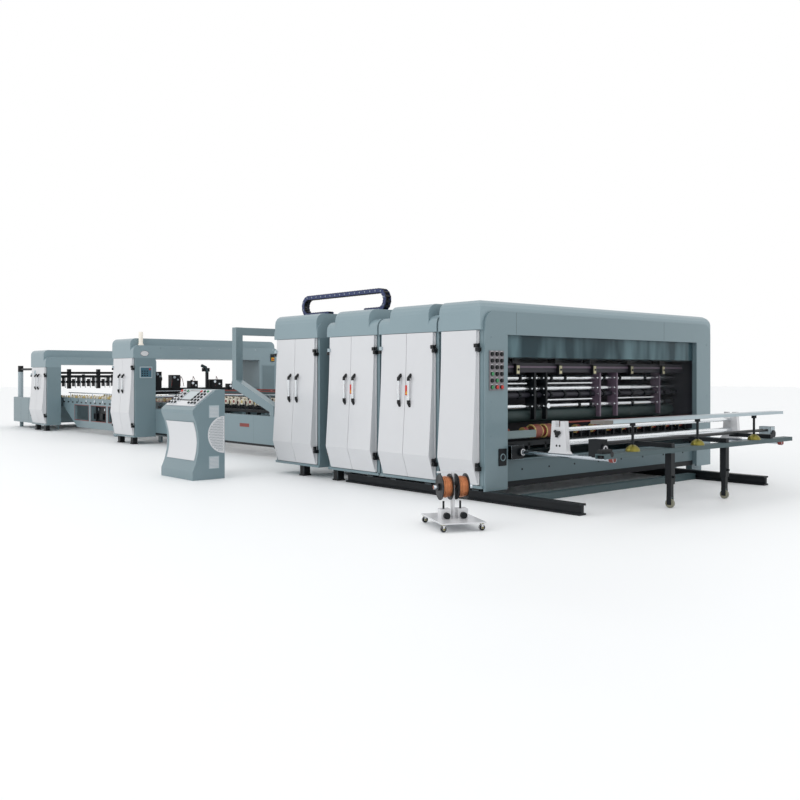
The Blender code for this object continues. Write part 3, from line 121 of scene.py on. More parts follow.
def set_studio():
    """Even white light from a plain world, with large lamps on the operator's side and at the feed end."""
    bpy.context.scene.view_settings.view_transform = "Standard"
    world = bpy.data.worlds.new("studio")
    bpy.context.scene.world = world
    world.use_nodes = True
    background = world.node_tree.nodes["Background"]
    background.inputs["Color"].default_value = (1.0, 1.0, 1.0, 1)
    background.inputs["Strength"].default_value = 1.0
    add_softbox("operator_softbox", at(5, -14, 9), at(6, 1, 1), 9, OPERATOR_WATTS, (1, 1, 1))
    add_softbox("feed_softbox", at(-13, -2, 7), at(0, 3, 1), 6, FEED_WATTS, (1, 0.99, 0.97))
    floor = bpy.data.meshes.new("floor")
    shape = bmesh.new()
    bmesh.ops.create_grid(shape, x_segments=1, y_segments=1, size=90)
    shape.to_mesh(floor)
    shape.free()
    ground = bpy.data.objects.new("floor", floor)
    ground.location = (along(9), 0, -0.0005)
    bpy.context.scene.collection.objects.link(ground)
    ground.data.materials.append(floor_paint)


# Finishes

def linear(code):
    """A colour written as sRGB hex, as linear red, green, blue and alpha."""
    parts = [int(code[i:i + 2], 16) / 255 for i in (1, 3, 5)]
    return tuple(c / 12.92 if c <= 0.04045 else ((c + 0.055) / 1.055) ** 2.4 for c in parts) + (1.0,)


def add(material, kind, inputs=None, **settings):
    """Add one shader node, with its settings, and with values or links for its sockets."""
    made = material.node_tree.nodes.new(kind)
    for name, value in settings.items():
        setattr(made, name, value)
    for socket, value in (inputs or {}).items():
        if isinstance(value, bpy.types.NodeSocket):
            material.node_tree.links.new(value, made.inputs[socket])
        else:
            made.inputs[socket].default_value = value
    return made


def new_finish(name, sockets):
    """A named material with one shader."""
    material = bpy.data.materials.new(name)
    material.use_nodes = True
    material.node_tree.nodes.clear()
    shader = add(material, "ShaderNodeBsdfPrincipled", sockets)
    add(material, "ShaderNodeOutputMaterial", {"Surface": shader.outputs["BSDF"]})
    return material, shader


def link(material, output, shader, socket):
    material.node_tree.links.new(output, shader.inputs[socket])


def coloured(name, slot, low, high, gloss, size=0.2, grain=3, height=0.2, **sockets):
    """Two close tones in patches sized in metres, uneven gloss, and a fine skin sized in millimetres."""
    sockets = {socket.replace("_", " "): value for socket, value in sockets.items()}
    material, shader = new_finish(name, sockets)
    place = add(material, "ShaderNodeTexCoord").outputs["Object"]
    broad = add(material, "ShaderNodeTexNoise",
                {"Vector": place, "Scale": 1 / size, "Detail": 4.0, "Roughness": 0.55}).outputs["Fac"]
    colour = add(material, "ShaderNodeMix", {"Factor": broad, "A": linear(low), "B": linear(high)},
                 data_type="RGBA")
    sheen = add(material, "ShaderNodeMapRange",
                {"Value": broad, "From Min": 0.3, "From Max": 0.7, "To Min": gloss[0], "To Max": gloss[1]})
    fine = add(material, "ShaderNodeTexNoise", {"Vector": place, "Scale": 1 / (grain * MM), "Detail": 2.0})
    relief = add(material, "ShaderNodeBump",
                 {"Height": fine.outputs["Fac"], "Strength": 0.35, "Distance": height * MM})
    link(material, colour.outputs[2], shader, "Base Color")
    link(material, sheen.outputs["Result"], shader, "Roughness")
    link(material, relief.outputs["Normal"], shader, "Normal")
    return material


def smoked_acrylic():
    # Smoked acrylic screen: glossy teal, nearly opaque in its upper band, where it hides the head beam's
    # drive and carries broad soft upright reflections painted into its colour as stretched streaks, and
    # clear below, where the works show through.
    material, shader = new_finish("smoked_acrylic",
                                  {"Roughness": 0.06, "IOR": 1.49, "Specular IOR Level": 0.18})
    place = add(material, "ShaderNodeTexCoord").outputs["Object"]
    # Upright streaks of lighter teal in the upper band are painted reflections.
    stretch = add(material, "ShaderNodeMapping", {"Vector": place, "Scale": (1.0, 1 / 0.28, 1 / 1.5)})
    painted_reflection_streaks = add(material, "ShaderNodeTexNoise",
               {"Vector": stretch.outputs["Vector"], "Scale": 1.0, "Detail": 2.0})
    painted_reflection_mix = add(material, "ShaderNodeMapRange",
                 {"Value": painted_reflection_streaks.outputs["Fac"], "From Min": 0.38, "From Max": 0.66}).outputs["Result"]
    colour = add(material, "ShaderNodeMix",
                 {"Factor": painted_reflection_mix, "A": linear("#2a3f46"), "B": linear("#5f7980")}, data_type="RGBA")
    height = add(material, "ShaderNodeSeparateXYZ", {"Vector": place}).outputs["Z"]
    upper = add(material, "ShaderNodeMapRange", {"Value": height, "From Min": SCREEN_BAND - 0.01,
                                                 "From Max": SCREEN_BAND + 0.01}).outputs["Result"]
    shade = add(material, "ShaderNodeMix",
                {"Factor": upper, "A": linear("#10181b"), "B": colour.outputs[2]},
                data_type="RGBA")
    band = add(material, "ShaderNodeMapRange", {"Value": upper, "To Min": 0.12, "To Max": 0.93})
    link(material, shade.outputs[2], shader, "Base Color")
    link(material, band.outputs["Result"], shader, "Alpha")
    return material


def copper_winding():
    # Copper stitching wire wound in close turns, darker in the grooves and pale on the crests: painted shade
    # and a painted highlight on each turn. The wire is 2 mm wide, drawn here at 5 mm.
    material, shader = new_finish("copper_winding", {"Roughness": 0.3, "Metallic": 1.0})
    place = add(material, "ShaderNodeTexCoord").outputs["Object"]
    turned = add(material, "ShaderNodeMapping", {"Vector": place, "Rotation": (0, 0, -CART_TURN)})
    turn_relief_and_painted_shade = add(material, "ShaderNodeTexWave",
                {"Vector": turned.outputs["Vector"], "Scale": 0.31 / (5 * MM)},
                wave_type="BANDS", bands_direction="X").outputs["Fac"]
    # Dark grooves and pale crests: painted shade and painted highlight.
    colour = add(material, "ShaderNodeMix",
                 {"Factor": turn_relief_and_painted_shade, "A": linear("#9a5638"), "B": linear("#f0a878")},
                 data_type="RGBA")
    relief = add(material, "ShaderNodeBump", {"Height": turn_relief_and_painted_shade, "Strength": 0.6, "Distance": 2 * MM})
    link(material, colour.outputs[2], shader, "Base Color")
    link(material, relief.outputs["Normal"], shader, "Normal")
    return material


smoked = smoked_acrylic()
copper = copper_winding()
# Sprayed and baked blue-grey enamel on sheet steel: satin, with a faint orange peel.
# The peel is 3 mm across on the real thing, and is drawn at 12 mm so that it shows.
grey = coloured("grey_enamel", "grey_paint", "#6b8087", "#768a91", (0.28, 0.36), 1.6, 12, 0.5,
                Coat_Weight=0.15)
# The same enamel on roofs, which lie flat: its lighter tones are a painted highlight for the light they
# catch.
roof_grey_painted_highlight = coloured("roof_enamel_painted_highlight", "grey_paint", "#7b9098", "#879ba2", (0.3, 0.4), 1.2, 12, 0.5,
                     Coat_Weight=0.15)
# Powder-coated white door skins: brighter and glossier, with the same peel.
white = coloured("white_enamel", "white_paint", "#c9cbce", "#d3d4d7", (0.2, 0.28), 2.0, 12, 0.4,
                 Coat_Weight=0.25)
# Dark green machine enamel over rough castings: dull, with a pebbled skin.
dark_green = coloured("green_black_enamel", "dark_green_paint", "#33474b", "#405458", (0.42, 0.6), 0.3, 6,
                      0.6)
# Blackened rolled steel: nearly black, a little metallic, with patchy gloss.
black_steel = coloured("black_oxide_steel", "black_steel", "#0a0e12", "#151b20", (0.35, 0.55), 0.2, 5, 0.3,
                       Metallic=0.15, Specular_IOR_Level=0.3)
# Hard-chromed shaft: a clear mirror with a slightly cold tint.
chrome = coloured("bright_chrome", "chrome", "#b9c2c9", "#cdd4da", (0.1, 0.2), 0.4, 4, 0.05, Metallic=1.0)
# Ground and polished chrome bars, which mirror the white hall and read nearly white.
pale_chrome = coloured("pale_chrome", "chrome", "#dde1e4", "#eceff1", (0.12, 0.25), height=0.05,
                       Metallic=1.0)
# Ground nitrile roll cover, dark green: matt with a soft sheen.
rubber = coloured("green_rubber", "green_rubber", "#1f2f30", "#2b3e3d", (0.5, 0.68), 0.15, 4, 0.3)
# Cast red polyurethane wheels and belts: waxy, worn paler in places.
red_rubber = coloured("red_urethane", "red_rubber", "#6b2a26", "#8d3b33", (0.42, 0.6), 0.12, 3, 0.3)
# Cast yellow polyurethane belt: waxy, slightly brown where it has run.
yellow_rubber = coloured("yellow_urethane", "red_rubber", "#b09a5a", "#c9b574", (0.42, 0.6), 0.12, 3, 0.3)
# Copper-brown urethane of the two large feed wheels, scuffed by board.
wheel_brown = coloured("brown_urethane", "red_rubber", "#6d3a30", "#8a4d3e", (0.5, 0.63), 0.05)
# Beige castor tyre: soft rubber, a little dirty.
beige_tyre = coloured("beige_tyre", "red_rubber", "#7c7a68", "#8f8d79", (0.6, 0.73), 0.04)
# Moulded blue-black nylon links: satin, with slight flow marks.
blue_links = coloured("blue_nylon", "blue_chain", "#1d2a55", "#2d3c6a", (0.36, 0.5), 0.08)
# Moulded black nylon grips, caps and wheels: satin black.
black_plastic = coloured("black_nylon", "black_steel", "#0b0d10", "#14171a", (0.38, 0.55), 0.08,
                         Specular_IOR_Level=0.35)
# Turned brass domes and bushes: warm and bright, with fine tool rings.
brass = coloured("turned_brass", "aluminium", "#6f6828", "#938a3d", (0.28, 0.42), 0.05, 2, 0.1,
                 Metallic=0.6)
# Red signal plates and buttons in moulded plastic: clean and glossy.
red_plastic = coloured("red_signal_plastic", "red_rubber", "#b3281f", "#c7352a", (0.26, 0.34), 0.1, 4, 0.1)
# Green push buttons in moulded plastic.
green_plastic = coloured("green_signal_plastic", "lamp_lens", "#2c7a4b", "#3a8d5a", (0.26, 0.34), 0.1, 4,
                         0.1)
# Yellow signal plastic: clean and glossy.
yellow_plastic = coloured("yellow_signal_plastic", "red_rubber", "#d0a21e", "#ddb02c", (0.27, 0.4))
# Clear polycarbonate lamp, off: milky, warm white.
lamp = coloured("lamp_polycarbonate", "lamp_lens", "#efe9dc", "#f8f3ea", (0.18, 0.26), 0.05, 6, 0.3,
                IOR=1.58)
# Printed blue membrane of a small operator panel.
membrane = coloured("blue_membrane", "blue_chain", "#345767", "#41697a", (0.3, 0.4), 0.1, 4, 0.1)
# Purple-grey enamel on the hangers and the rail of the head beam: dull, rubbed lighter at places.
purple_enamel = coloured("purple_enamel", "black_steel", "#5a4d5c", "#6f6070", (0.37, 0.5), 0.08)
# Dark purple-black enamel of the shaft frame and head beam, also laid on plates behind the shafts as
# painted shade inside the feeder's mouth.
purple_black_and_painted_shade = coloured("purple_black_enamel_and_painted_shade", "black_steel", "#191a24", "#262530", (0.45, 0.58))
# Cream enamel of the small scale plates on the head beam.
cream_enamel = coloured("cream_enamel", "white_paint", "#b9b48e", "#cfcaa6", (0.35, 0.48))
# Grey-green enamel of the sill, with a satin skin.
sill_green = coloured("sill_enamel", "dark_green_paint", "#4f646a", "#5c7178", (0.33, 0.46), 0.8, 8, 0.4)
# Pale green-grey enamel of the guide bar in the mouth.
bar_green = coloured("bar_enamel", "dark_green_paint", "#66777a", "#788a8a", (0.35, 0.48))
# Brown-grey cast end of the guide bar, left rough.
bracket_brown = coloured("cast_bracket", "black_steel", "#5c5955", "#6f6c67", (0.5, 0.63), 0.05, height=0.5)
# Cream nylon discs of the folding section: waxy.
cream_disc = coloured("cream_nylon", "white_paint", "#cdc8b8", "#dedacb", (0.35, 0.48), 0.05)
# Pale grey plastic of cases and the sensor post, also laid behind the console's louvres as painted shade
# of their recess.
pale_grey_and_painted_shade = coloured("pale_grey_plastic_and_painted_shade", "grey_paint", "#9aa9b0", "#aab8be", (0.33, 0.46))
# Smoked window of the far post, drawn flat: darkened with painted shade of its recess, with soft patches
# of tone as painted reflections.
window_glass_and_painted_shade = coloured("post_window_glass_and_painted_shade", "smoked_glass", "#5a6e75", "#71858b", (0.07, 0.2), 0.5)
# Shaded holes of the perforated grille.
hole_grey = coloured("grille_hole", "black_steel", "#66757c", "#74838a", (0.55, 0.68))
# Light grey screen that is off.
screen_grey = coloured("screen_off", "lamp_lens", "#aab4b8", "#b8c1c5", (0.1, 0.23))
# Satin anodised bar, whose broad top mirrors the white hall.
bar_aluminium = coloured("anodised_bar", "aluminium", "#a9b3b8", "#b9c2c6", (0.3, 0.43), 0.6, Metallic=0.3)
# Pinkish grey film of the button panel.
panel_film = coloured("panel_film", "aluminium", "#736f74", "#7f7b7f", (0.3, 0.43))
# Painted studio floor: plain and pale, with a very soft sheen.
floor_paint = coloured("studio_floor", "grey_paint", "#f4f6f8", "#f7f9fa", (0.5, 0.6), 4.0, 200, 0.1)

FINISH_OF_SLOT = {"grey_paint": grey, "white_paint": white, "dark_green_paint": dark_green,
                  "black_steel": black_steel, "chrome": chrome, "green_rubber": rubber,
                  "red_rubber": red_rubber, "smoked_glass": smoked, "copper_wire": copper,
                  "blue_chain": blue_links, "lamp_lens": lamp}
# Portals and hoods take the roof enamel, made lighter with its painted highlight.
FINISH_OF_NODE = {"feeder_button_panel": panel_film, "edge_guide_bar": bar_aluminium,
                  "feeder_base_beam": sill_green,
                  "feeder_shaft_frame": purple_black_and_painted_shade, "feed_carriage": black_steel,
                  "stitcher_portal": roof_grey_painted_highlight, "counter_portal": roof_grey_painted_highlight, "feeder_hood": roof_grey_painted_highlight,
                  "printer_a_hood": roof_grey_painted_highlight, "printer_b_hood": roof_grey_painted_highlight, "slotter_hood": roof_grey_painted_highlight}


def paint_nodes():
    """Give each solid of the frame its own or its slot's finish, and keep its sharp edges sharp."""
    for part in frame["record"]["subparts"]:
        mesh = frame["nodes"][part["node"]].data
        mesh.materials.clear()
        mesh.materials.append(FINISH_OF_NODE.get(part["node"]) or FINISH_OF_SLOT[part["material_slot"]])
        mesh.shade_smooth()
        mesh.set_sharp_from_angle(angle=math.radians(32))


# Making pieces: shapes are drawn together in one mesh, then finished with a small bevel

def block(shape, low, high):
    """A block between two opposite corners, in either order."""
    low, high = [Vector([pick(pair) for pair in zip(low, high)]) for pick in (min, max)]
    corners = bmesh.ops.create_cube(shape, size=1.0)["verts"]
    bmesh.ops.scale(shape, vec=high - low, verts=corners)
    bmesh.ops.translate(shape, vec=(low + high) / 2, verts=corners)
    return corners


def rod(shape, start, end, radius, sides=20, tip=None):
    """A round bar, or a cone with another radius at its tip."""
    start, end = Vector(start), Vector(end)
    run = end - start
    corners = bmesh.ops.create_cone(shape, cap_ends=True, segments=sides, radius1=radius,
                                    radius2=radius if tip is None else tip, depth=run.length)["verts"]
    turn = run.to_track_quat("Z", "Y").to_matrix().to_4x4()
    bmesh.ops.transform(shape, matrix=Matrix.Translation((start + end) / 2) @ turn, verts=corners)
    return corners


def rod_x(shape, start, end, y, z, radius, sides=20, tip=None):
    """A rod along the line, between two X."""
    return rod(shape, (start, y, z), (end, y, z), radius, sides, tip)


def rod_y(shape, x, start, end, z, radius, sides=20, tip=None):
    """A rod across the line, between two Y."""
    return rod(shape, (x, start, z), (x, end, z), radius, sides, tip)


def rod_z(shape, x, y, start, end, radius, sides=20, tip=None):
    """An upright rod."""
    return rod(shape, (x, y, start), (x, y, end), radius, sides, tip)


def axle(shape, x, y, z, half, radius, sides=20):
    """A rod across the line, centred on a place."""
    return rod_y(shape, x, y - half, y + half, z, radius, sides)


def post(shape, x, y, half_x, half_y, low, high):
    """A block centred on X and Y, between two heights."""
    return block(shape, (x - half_x, y - half_y, low), (x + half_x, y + half_y, high))


def mouth_block(shape, far, near, low_z, high_z, gap):
    """A block right across the feeder's mouth between two distances, with a gap to its end walls."""
    block(shape, (along(far), across(WALL + gap), low_z),
          (along(near), across(LINE_WIDTH - WALL - gap), high_z))


def ring(shape, centre, axis, radius, thickness, around=32, section=10):
    """A torus about an axis through its centre."""
    axis = Vector(axis).normalized()
    turn = axis.to_track_quat("Z", "Y").to_matrix().to_4x4()
    placing = Matrix.Translation(centre) @ turn
    loop = [[shape.verts.new(placing @ Vector(((radius + thickness * math.cos(b)) * math.cos(a),
                                               (radius + thickness * math.cos(b)) * math.sin(a),
                                               thickness * math.sin(b))))
             for b in [2 * math.pi * j / section for j in range(section)]]
            for a in [2 * math.pi * i / around for i in range(around)]]
    for i in range(around):
        for j in range(section):
            shape.faces.new((loop[i][j], loop[(i + 1) % around][j],
                             loop[(i + 1) % around][(j + 1) % section], loop[i][(j + 1) % section]))


def pipe(shape, points, radius, sides=10):
    """A round bar bent through a list of points, with closed ends."""
    points = [Vector(p) for p in points]
    rings = []
    for i, place in enumerate(points):
        run = points[min(i + 1, len(points) - 1)] - points[max(i - 1, 0)]
        turn = run.to_track_quat("Z", "Y").to_matrix()
        angles = [2 * math.pi * k / sides for k in range(sides)]
        rings.append([shape.verts.new(place + turn @ Vector((radius * math.cos(a), radius * math.sin(a), 0)))
                      for a in angles])
    for a, b in zip(rings, rings[1:]):
        for k in range(sides):
            shape.faces.new((a[k], a[(k + 1) % sides], b[(k + 1) % sides], b[k]))
    shape.faces.new(rings[0][::-1])
    shape.faces.new(rings[-1])


def plate(shape, outline, low, high, axis):
    """A flat outline given a thickness from low to high, across X or across Y."""
    def corner(u, v, w):
        return (w, u, v) if axis == "X" else (u, w, v)
    lower = [shape.verts.new(corner(u, v, low)) for u, v in outline]
    upper = [shape.verts.new(corner(u, v, high)) for u, v in outline]
    count = len(outline)
    shape.faces.new(lower[::-1])
    shape.faces.new(upper)
    for i in range(count):
        shape.faces.new((lower[i], lower[(i + 1) % count], upper[(i + 1) % count], upper[i]))


def piece(name, shape, material, bevel=0.0, body=ROOT):
    """Turn a drawn shape into a piece that rides on a body, with the finish it is given."""
    bmesh.ops.recalc_face_normals(shape, faces=shape.faces)
    mesh = bpy.data.meshes.new(name)
    shape.to_mesh(mesh)
    shape.free()
    mesh.materials.append(material)
    mesh.shade_smooth()
    mesh.set_sharp_from_angle(angle=math.radians(34))
    made = bpy.data.objects.new(name, mesh)
    bpy.context.scene.collection.objects.link(made)
    if bevel:
        edge = made.modifiers.new("edge", "BEVEL")
        edge.width = bevel
        edge.segments = 2
        edge.limit_method = "ANGLE"
        edge.angle_limit = math.radians(40)
        edge.harden_normals = False
    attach(made, body)
    return made


def block_piece(name, low, high, material, bevel=0.0, body=ROOT):
    """A piece that is a single block."""
    shape = bmesh.new()
    block(shape, low, high)
    piece(name, shape, material, bevel, body)


def shapes(count):
    """A few empty shapes to draw in."""
    return [bmesh.new() for _ in range(count)]


# Doors: chrome grab handles with black ends, black hinges, and red signal plates

HANDLE_LOW = 1.07
HANDLE_HIGH = 1.46
HANDLE_BEND = 0.04
HANDLE_REACH = 0.052
HANDLE_GRIP = 0.0145
HANDLE_ELBOW = 0.02
HINGE_SETOUT = 0.012
HINGE_LOW = 0.4
HINGE_FROM_TOP = 0.2
HINGE_HALF = 0.045
HINGE_WRAP = 0.0115
SIDE_STRIP = 0.05
HANDLE_FROM_EDGE = 0.09

ON_RAIL = 0.12
TWO_LEAVES = ("door_right", "door_left")
# Inset of each cabinet, its leaves, and its feet by their share of its length and what they stand on
CABINETS = {
    "feeder": dict(inset=0.0, leaves=("door",), feet=((0.2, ON_RAIL), (0.8, ON_RAIL))),
    "printer_a": dict(inset=0.0, leaves=TWO_LEAVES, feet=((0.2, ON_RAIL), (0.8, ON_RAIL))),
    "printer_b": dict(inset=0.0, leaves=TWO_LEAVES, feet=((0.11, 0), (0.8, ON_RAIL))),
    "slotter": dict(inset=0.0, leaves=TWO_LEAVES, feet=((0.58, 0),)),
    "stitcher": dict(inset=0.70, leaves=TWO_LEAVES, feet=((0.2, 0), (0.8, 0))),
    "counter": dict(inset=0.95, leaves=TWO_LEAVES, feet=((0.2, 0), (0.8, 0))),
}


def cover_handle(leaf, x, inset):
    """A polished grip with black elbows at its ends, over the steel handle."""
    y = across(inset - HANDLE_REACH)
    low, high = HANDLE_LOW + HANDLE_BEND, HANDLE_HIGH - HANDLE_BEND
    grip = bmesh.new()
    rod_z(grip, x, y, low, high, HANDLE_GRIP)
    piece(leaf + "_grip", grip, pale_chrome, body=leaf)
    elbows = bmesh.new()
    pipe(elbows, [(x, y, low + 0.035), (x, y, low), (x, across(inset - 0.022), HANDLE_LOW - 0.004)],
         HANDLE_ELBOW, sides=16)
    pipe(elbows, [(x, y, high - 0.035), (x, y, high), (x, across(inset - 0.004), HANDLE_HIGH + 0.004)],
         HANDLE_ELBOW, sides=16)
    piece(leaf + "_grip_elbows", elbows, black_plastic, 0.004, body=leaf)


def hinge_covers(name, unit):
    """Black hinges: lower knuckles and blocks ride on the housing, upper ones on the leaf."""
    low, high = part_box(name + "_cabinet")
    fixed = bmesh.new()
    inset = unit["inset"]
    y = across(inset - HINGE_SETOUT)
    for leaf_word in unit["leaves"]:
        leaf = f"{name}_{leaf_word}"
        outward = -1 if leaf_word == "door_left" else 1
        axis_x = (low.x + SIDE_STRIP) if outward < 0 else (high.x - SIDE_STRIP)
        leaf_low, leaf_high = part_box(leaf)
        heights = (HINGE_LOW, leaf_high.z - HINGE_FROM_TOP)
        moving, flange = shapes(2)
        sides = axis_x - outward * 0.001, axis_x - outward * 0.018
        stops = [leaf_low.z + 0.002, heights[0] - 0.052, heights[0] + 0.052, heights[1] - 0.052,
                 heights[1] + 0.052, leaf_high.z - 0.002]
        for start, end in zip(stops[::2], stops[1::2]):
            block(flange, (sides[0], across(inset + 0.03), start), (sides[1], across(inset + 0.0395), end))
        piece(leaf + "_edge_flange", flange, white, 0.001, body=leaf)
        for height in heights:
            rod_z(fixed, axis_x, y, height - HINGE_HALF - 0.001, height - 0.001, HINGE_WRAP)
            ends = axis_x - outward * 0.012, axis_x + outward * 0.026
            block(fixed, (ends[0], y - 0.0105, height - HINGE_HALF),
                  (ends[1], across(inset + 0.044), height - 0.001))
            rod_z(moving, axis_x, y, height + 0.001, height + HINGE_HALF + 0.001, HINGE_WRAP)
            ends = axis_x + outward * 0.012, axis_x - outward * 0.037
            block(moving, (ends[0], y - 0.0105, height + 0.001),
                  (ends[1], across(inset + 0.012), height + HINGE_HALF))
        cover = black_plastic if outward > 0 else pale_grey_and_painted_shade
        piece(leaf + "_hinge_blocks", moving, cover, 0.001, body=leaf)
    piece(name + "_hinges", fixed, black_plastic, 0.001)


def signal_plate(leaf, edge, inset):
    """A red plate at the leaf's free edge, between the two handles, with a yellow mark on it."""
    y = across(inset - 0.03)
    block_piece(leaf + "_signal_plate", (edge + 0.001, y, 1.205), (edge + 0.06, y + 0.022, 1.33),
                red_plastic, 0.003, body=leaf)
    mark = bmesh.new()
    plate(mark, [(edge + 0.01, 1.22), (edge + 0.05, 1.22), (edge + 0.03, 1.262)], y - 0.002, y + 0.002, "Y")
    piece(leaf + "_signal_mark", mark, yellow_plastic, body=leaf)


def dress_feet(name, unit):
    """Black rubber-shod feet under a housing."""
    low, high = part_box(name + "_cabinet")
    inset = unit["inset"]
    feet = bmesh.new()
    for share, base in unit["feet"]:
        x = low.x + (high.x - low.x) * share
        block(feet, (x - 0.0505, across(inset + 0.0595), base + 0.0006),
              (x + 0.0505, across(inset + 0.1705), 0.1505))
        if base == 0:
            block(feet, (x - 0.062, across(inset + 0.05), 0.0006), (x + 0.062, across(inset + 0.18), 0.022))
    piece(name + "_feet", feet, black_plastic, 0.003)


def dress_doors():
    """Hinges and feet on every cabinet, handles on paired leaves, and signal plates on the printers."""
    for name, unit in CABINETS.items():
        inset = unit["inset"]
        hinge_covers(name, unit)
        dress_feet(name, unit)
        if len(unit["leaves"]) < 2:
            continue
        for leaf_word in unit["leaves"]:
            leaf = f"{name}_{leaf_word}"
            low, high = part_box(leaf)
            free_edge, inward = (high.x, -1) if leaf_word == "door_left" else (low.x, 1)
            cover_handle(leaf, free_edge + inward * HANDLE_FROM_EDGE, inset)
        if name.startswith("printer"):
            leaf = name + "_door_right"
            signal_plate(leaf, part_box(leaf)[0].x, inset)


# Feeder: push buttons, the works behind the mouth, and the wheels on the feed shaft

BUTTON_ROWS = 6
BUTTON_COLUMNS = 3
CAP_HALF = 0.019
# Rows from below, and columns from the operator's side
GREEN_BUTTONS = ((2, 0), (1, 1), (0, 0))
RED_BUTTONS = ((0, 1), (0, 2))
SHAFT_HEIGHTS = (1.065, 1.205, 1.286, 1.42)
COLLAR_INSETS = (0.52, 1.02, 1.32, 1.62, 1.9, 2.2, 2.44, 2.74, 3.1, 3.4, 3.7, 4.2, 4.4)
HANGER_INSETS = (1.208, 1.43, 2.545, 2.925, 3.958)
HEAD_INSETS = (0.766, 1.577, 2.288, 3.129, 3.907)


def dress_button_panel():
    """Square caps on dark collars over the plain buttons of the panel."""
    low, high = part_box("feeder_button_panel")
    face = low.x + 0.012
    collars, greens, reds, blacks, labels = shapes(5)
    for row in range(BUTTON_ROWS):
        for column in range(BUTTON_COLUMNS):
            y = low.y + (high.y - low.y) * (column + 0.5) / BUTTON_COLUMNS
            z = low.z + (high.z - low.z) * (row + 0.5) / BUTTON_ROWS
            rod_x(collars, face, face + 0.012, y, z, 0.025, tip=0.023)
            cell = (row, column)
            chosen = reds if cell in RED_BUTTONS else greens if cell in GREEN_BUTTONS else blacks
            block(chosen, (face + 0.01, y - CAP_HALF, z - CAP_HALF),
                  (high.x + 0.003, y + CAP_HALF, z + CAP_HALF))
            block(labels, (face - 0.0005, y - 0.016, z + 0.028), (face + 0.0008, y + 0.016, z + 0.034))
    piece("panel_button_collars", collars, black_steel, 0.0015)
    piece("panel_green_buttons", greens, green_plastic, 0.004)
    piece("panel_red_buttons", reds, red_plastic, 0.004)
    piece("panel_black_buttons", blacks, black_plastic, 0.004)
    piece("panel_blank_labels", labels, white)


def dress_feeder_works():
    """Chrome sleeves and collars on the shafts, hangers, and the head beam with its caps and small plates."""
    shaft_x = along(0.36)
    sleeves, collars = shapes(2)
    for z in (1.065, 1.286, 1.42):
        rod_y(sleeves, shaft_x, across(WALL + 0.002), across(LINE_WIDTH - WALL - 0.002), z, 0.0345, 28)
    piece("shaft_sleeves", sleeves, pale_chrome)
    for inset in COLLAR_INSETS:
        for z in (1.205, 1.42) if int(inset * 100) % 4 else (1.205, 1.065):
            axle(collars, shaft_x, across(inset), z, 0.02, 0.045)
            rod_x(collars, shaft_x, shaft_x + 0.055, across(inset), z, 0.008, sides=8)
    piece("shaft_collars", collars, black_steel, 0.002)
    rail = bmesh.new()
    for low_inset, high_inset, z in ((0.5, 1.1, 1.353), (1.5, 2.42, 1.353), (1.5, 2.42, 1.14),
                                     (3.0, 3.86, 1.14)):
        rod_y(rail, along(0.30), across(low_inset), across(high_inset), z, 0.013, sides=16)
    piece("thin_tie_rods", rail, pale_chrome)
    tall, purple, knobs = shapes(3)
    for inset in HANGER_INSETS:
        chosen = tall if inset < 2 else purple
        x_low, x_high = along(0.412), along(0.258)
        block(chosen, (x_low, across(inset - 0.001), 1.037), (x_high, across(inset + 0.031), 1.492))
        block(chosen, at(0.321, inset - 0.001, 0.899), (x_high, across(inset + 0.031), 1.04))
        for z in SHAFT_HEIGHTS:
            rod_y(knobs, along(0.29), across(inset - 0.007), across(inset), z, 0.012, sides=12)
    piece("dark_hangers", tall, black_steel, 0.002)
    piece("purple_hangers", purple, purple_enamel, 0.002)
    rod_x(knobs, along(0.257), along(0.225), across(1.445), 1.07, 0.034, sides=24)
    piece("hanger_screws", knobs, pale_chrome, 0.002)
    beam, caps, plates, bolts = shapes(4)
    mouth_block(beam, 0.3205, 0.2395, 1.4895, 1.6105, 0.001)
    piece("head_beam_cover", beam, purple_black_and_painted_shade, 0.003)
    rib = bmesh.new()
    mouth_block(rib, 0.24, 0.232, 1.545, 1.57, 0.003)
    piece("head_beam_rail", rib, purple_enamel, 0.001)
    for inset in HEAD_INSETS:
        block(caps, at(0.3005, inset - 0.0605, 1.605), at(0.1795, inset + 0.0705, 1.6605))
        block(caps, at(0.24, inset + 0.029, 1.4595), at(0.1945, inset + 0.1005, 1.5905))
        block(plates, at(0.195, inset + 0.04, 1.475), at(0.190, inset + 0.09, 1.575))
        rod_x(bolts, along(0.195), along(0.184), across(inset + 0.065), 1.525, 0.016)
    piece("head_bolts", bolts, black_plastic, 0.001)
    piece("head_caps", caps, black_plastic, 0.003)
    piece("head_plates", plates, cream_enamel, 0.002)


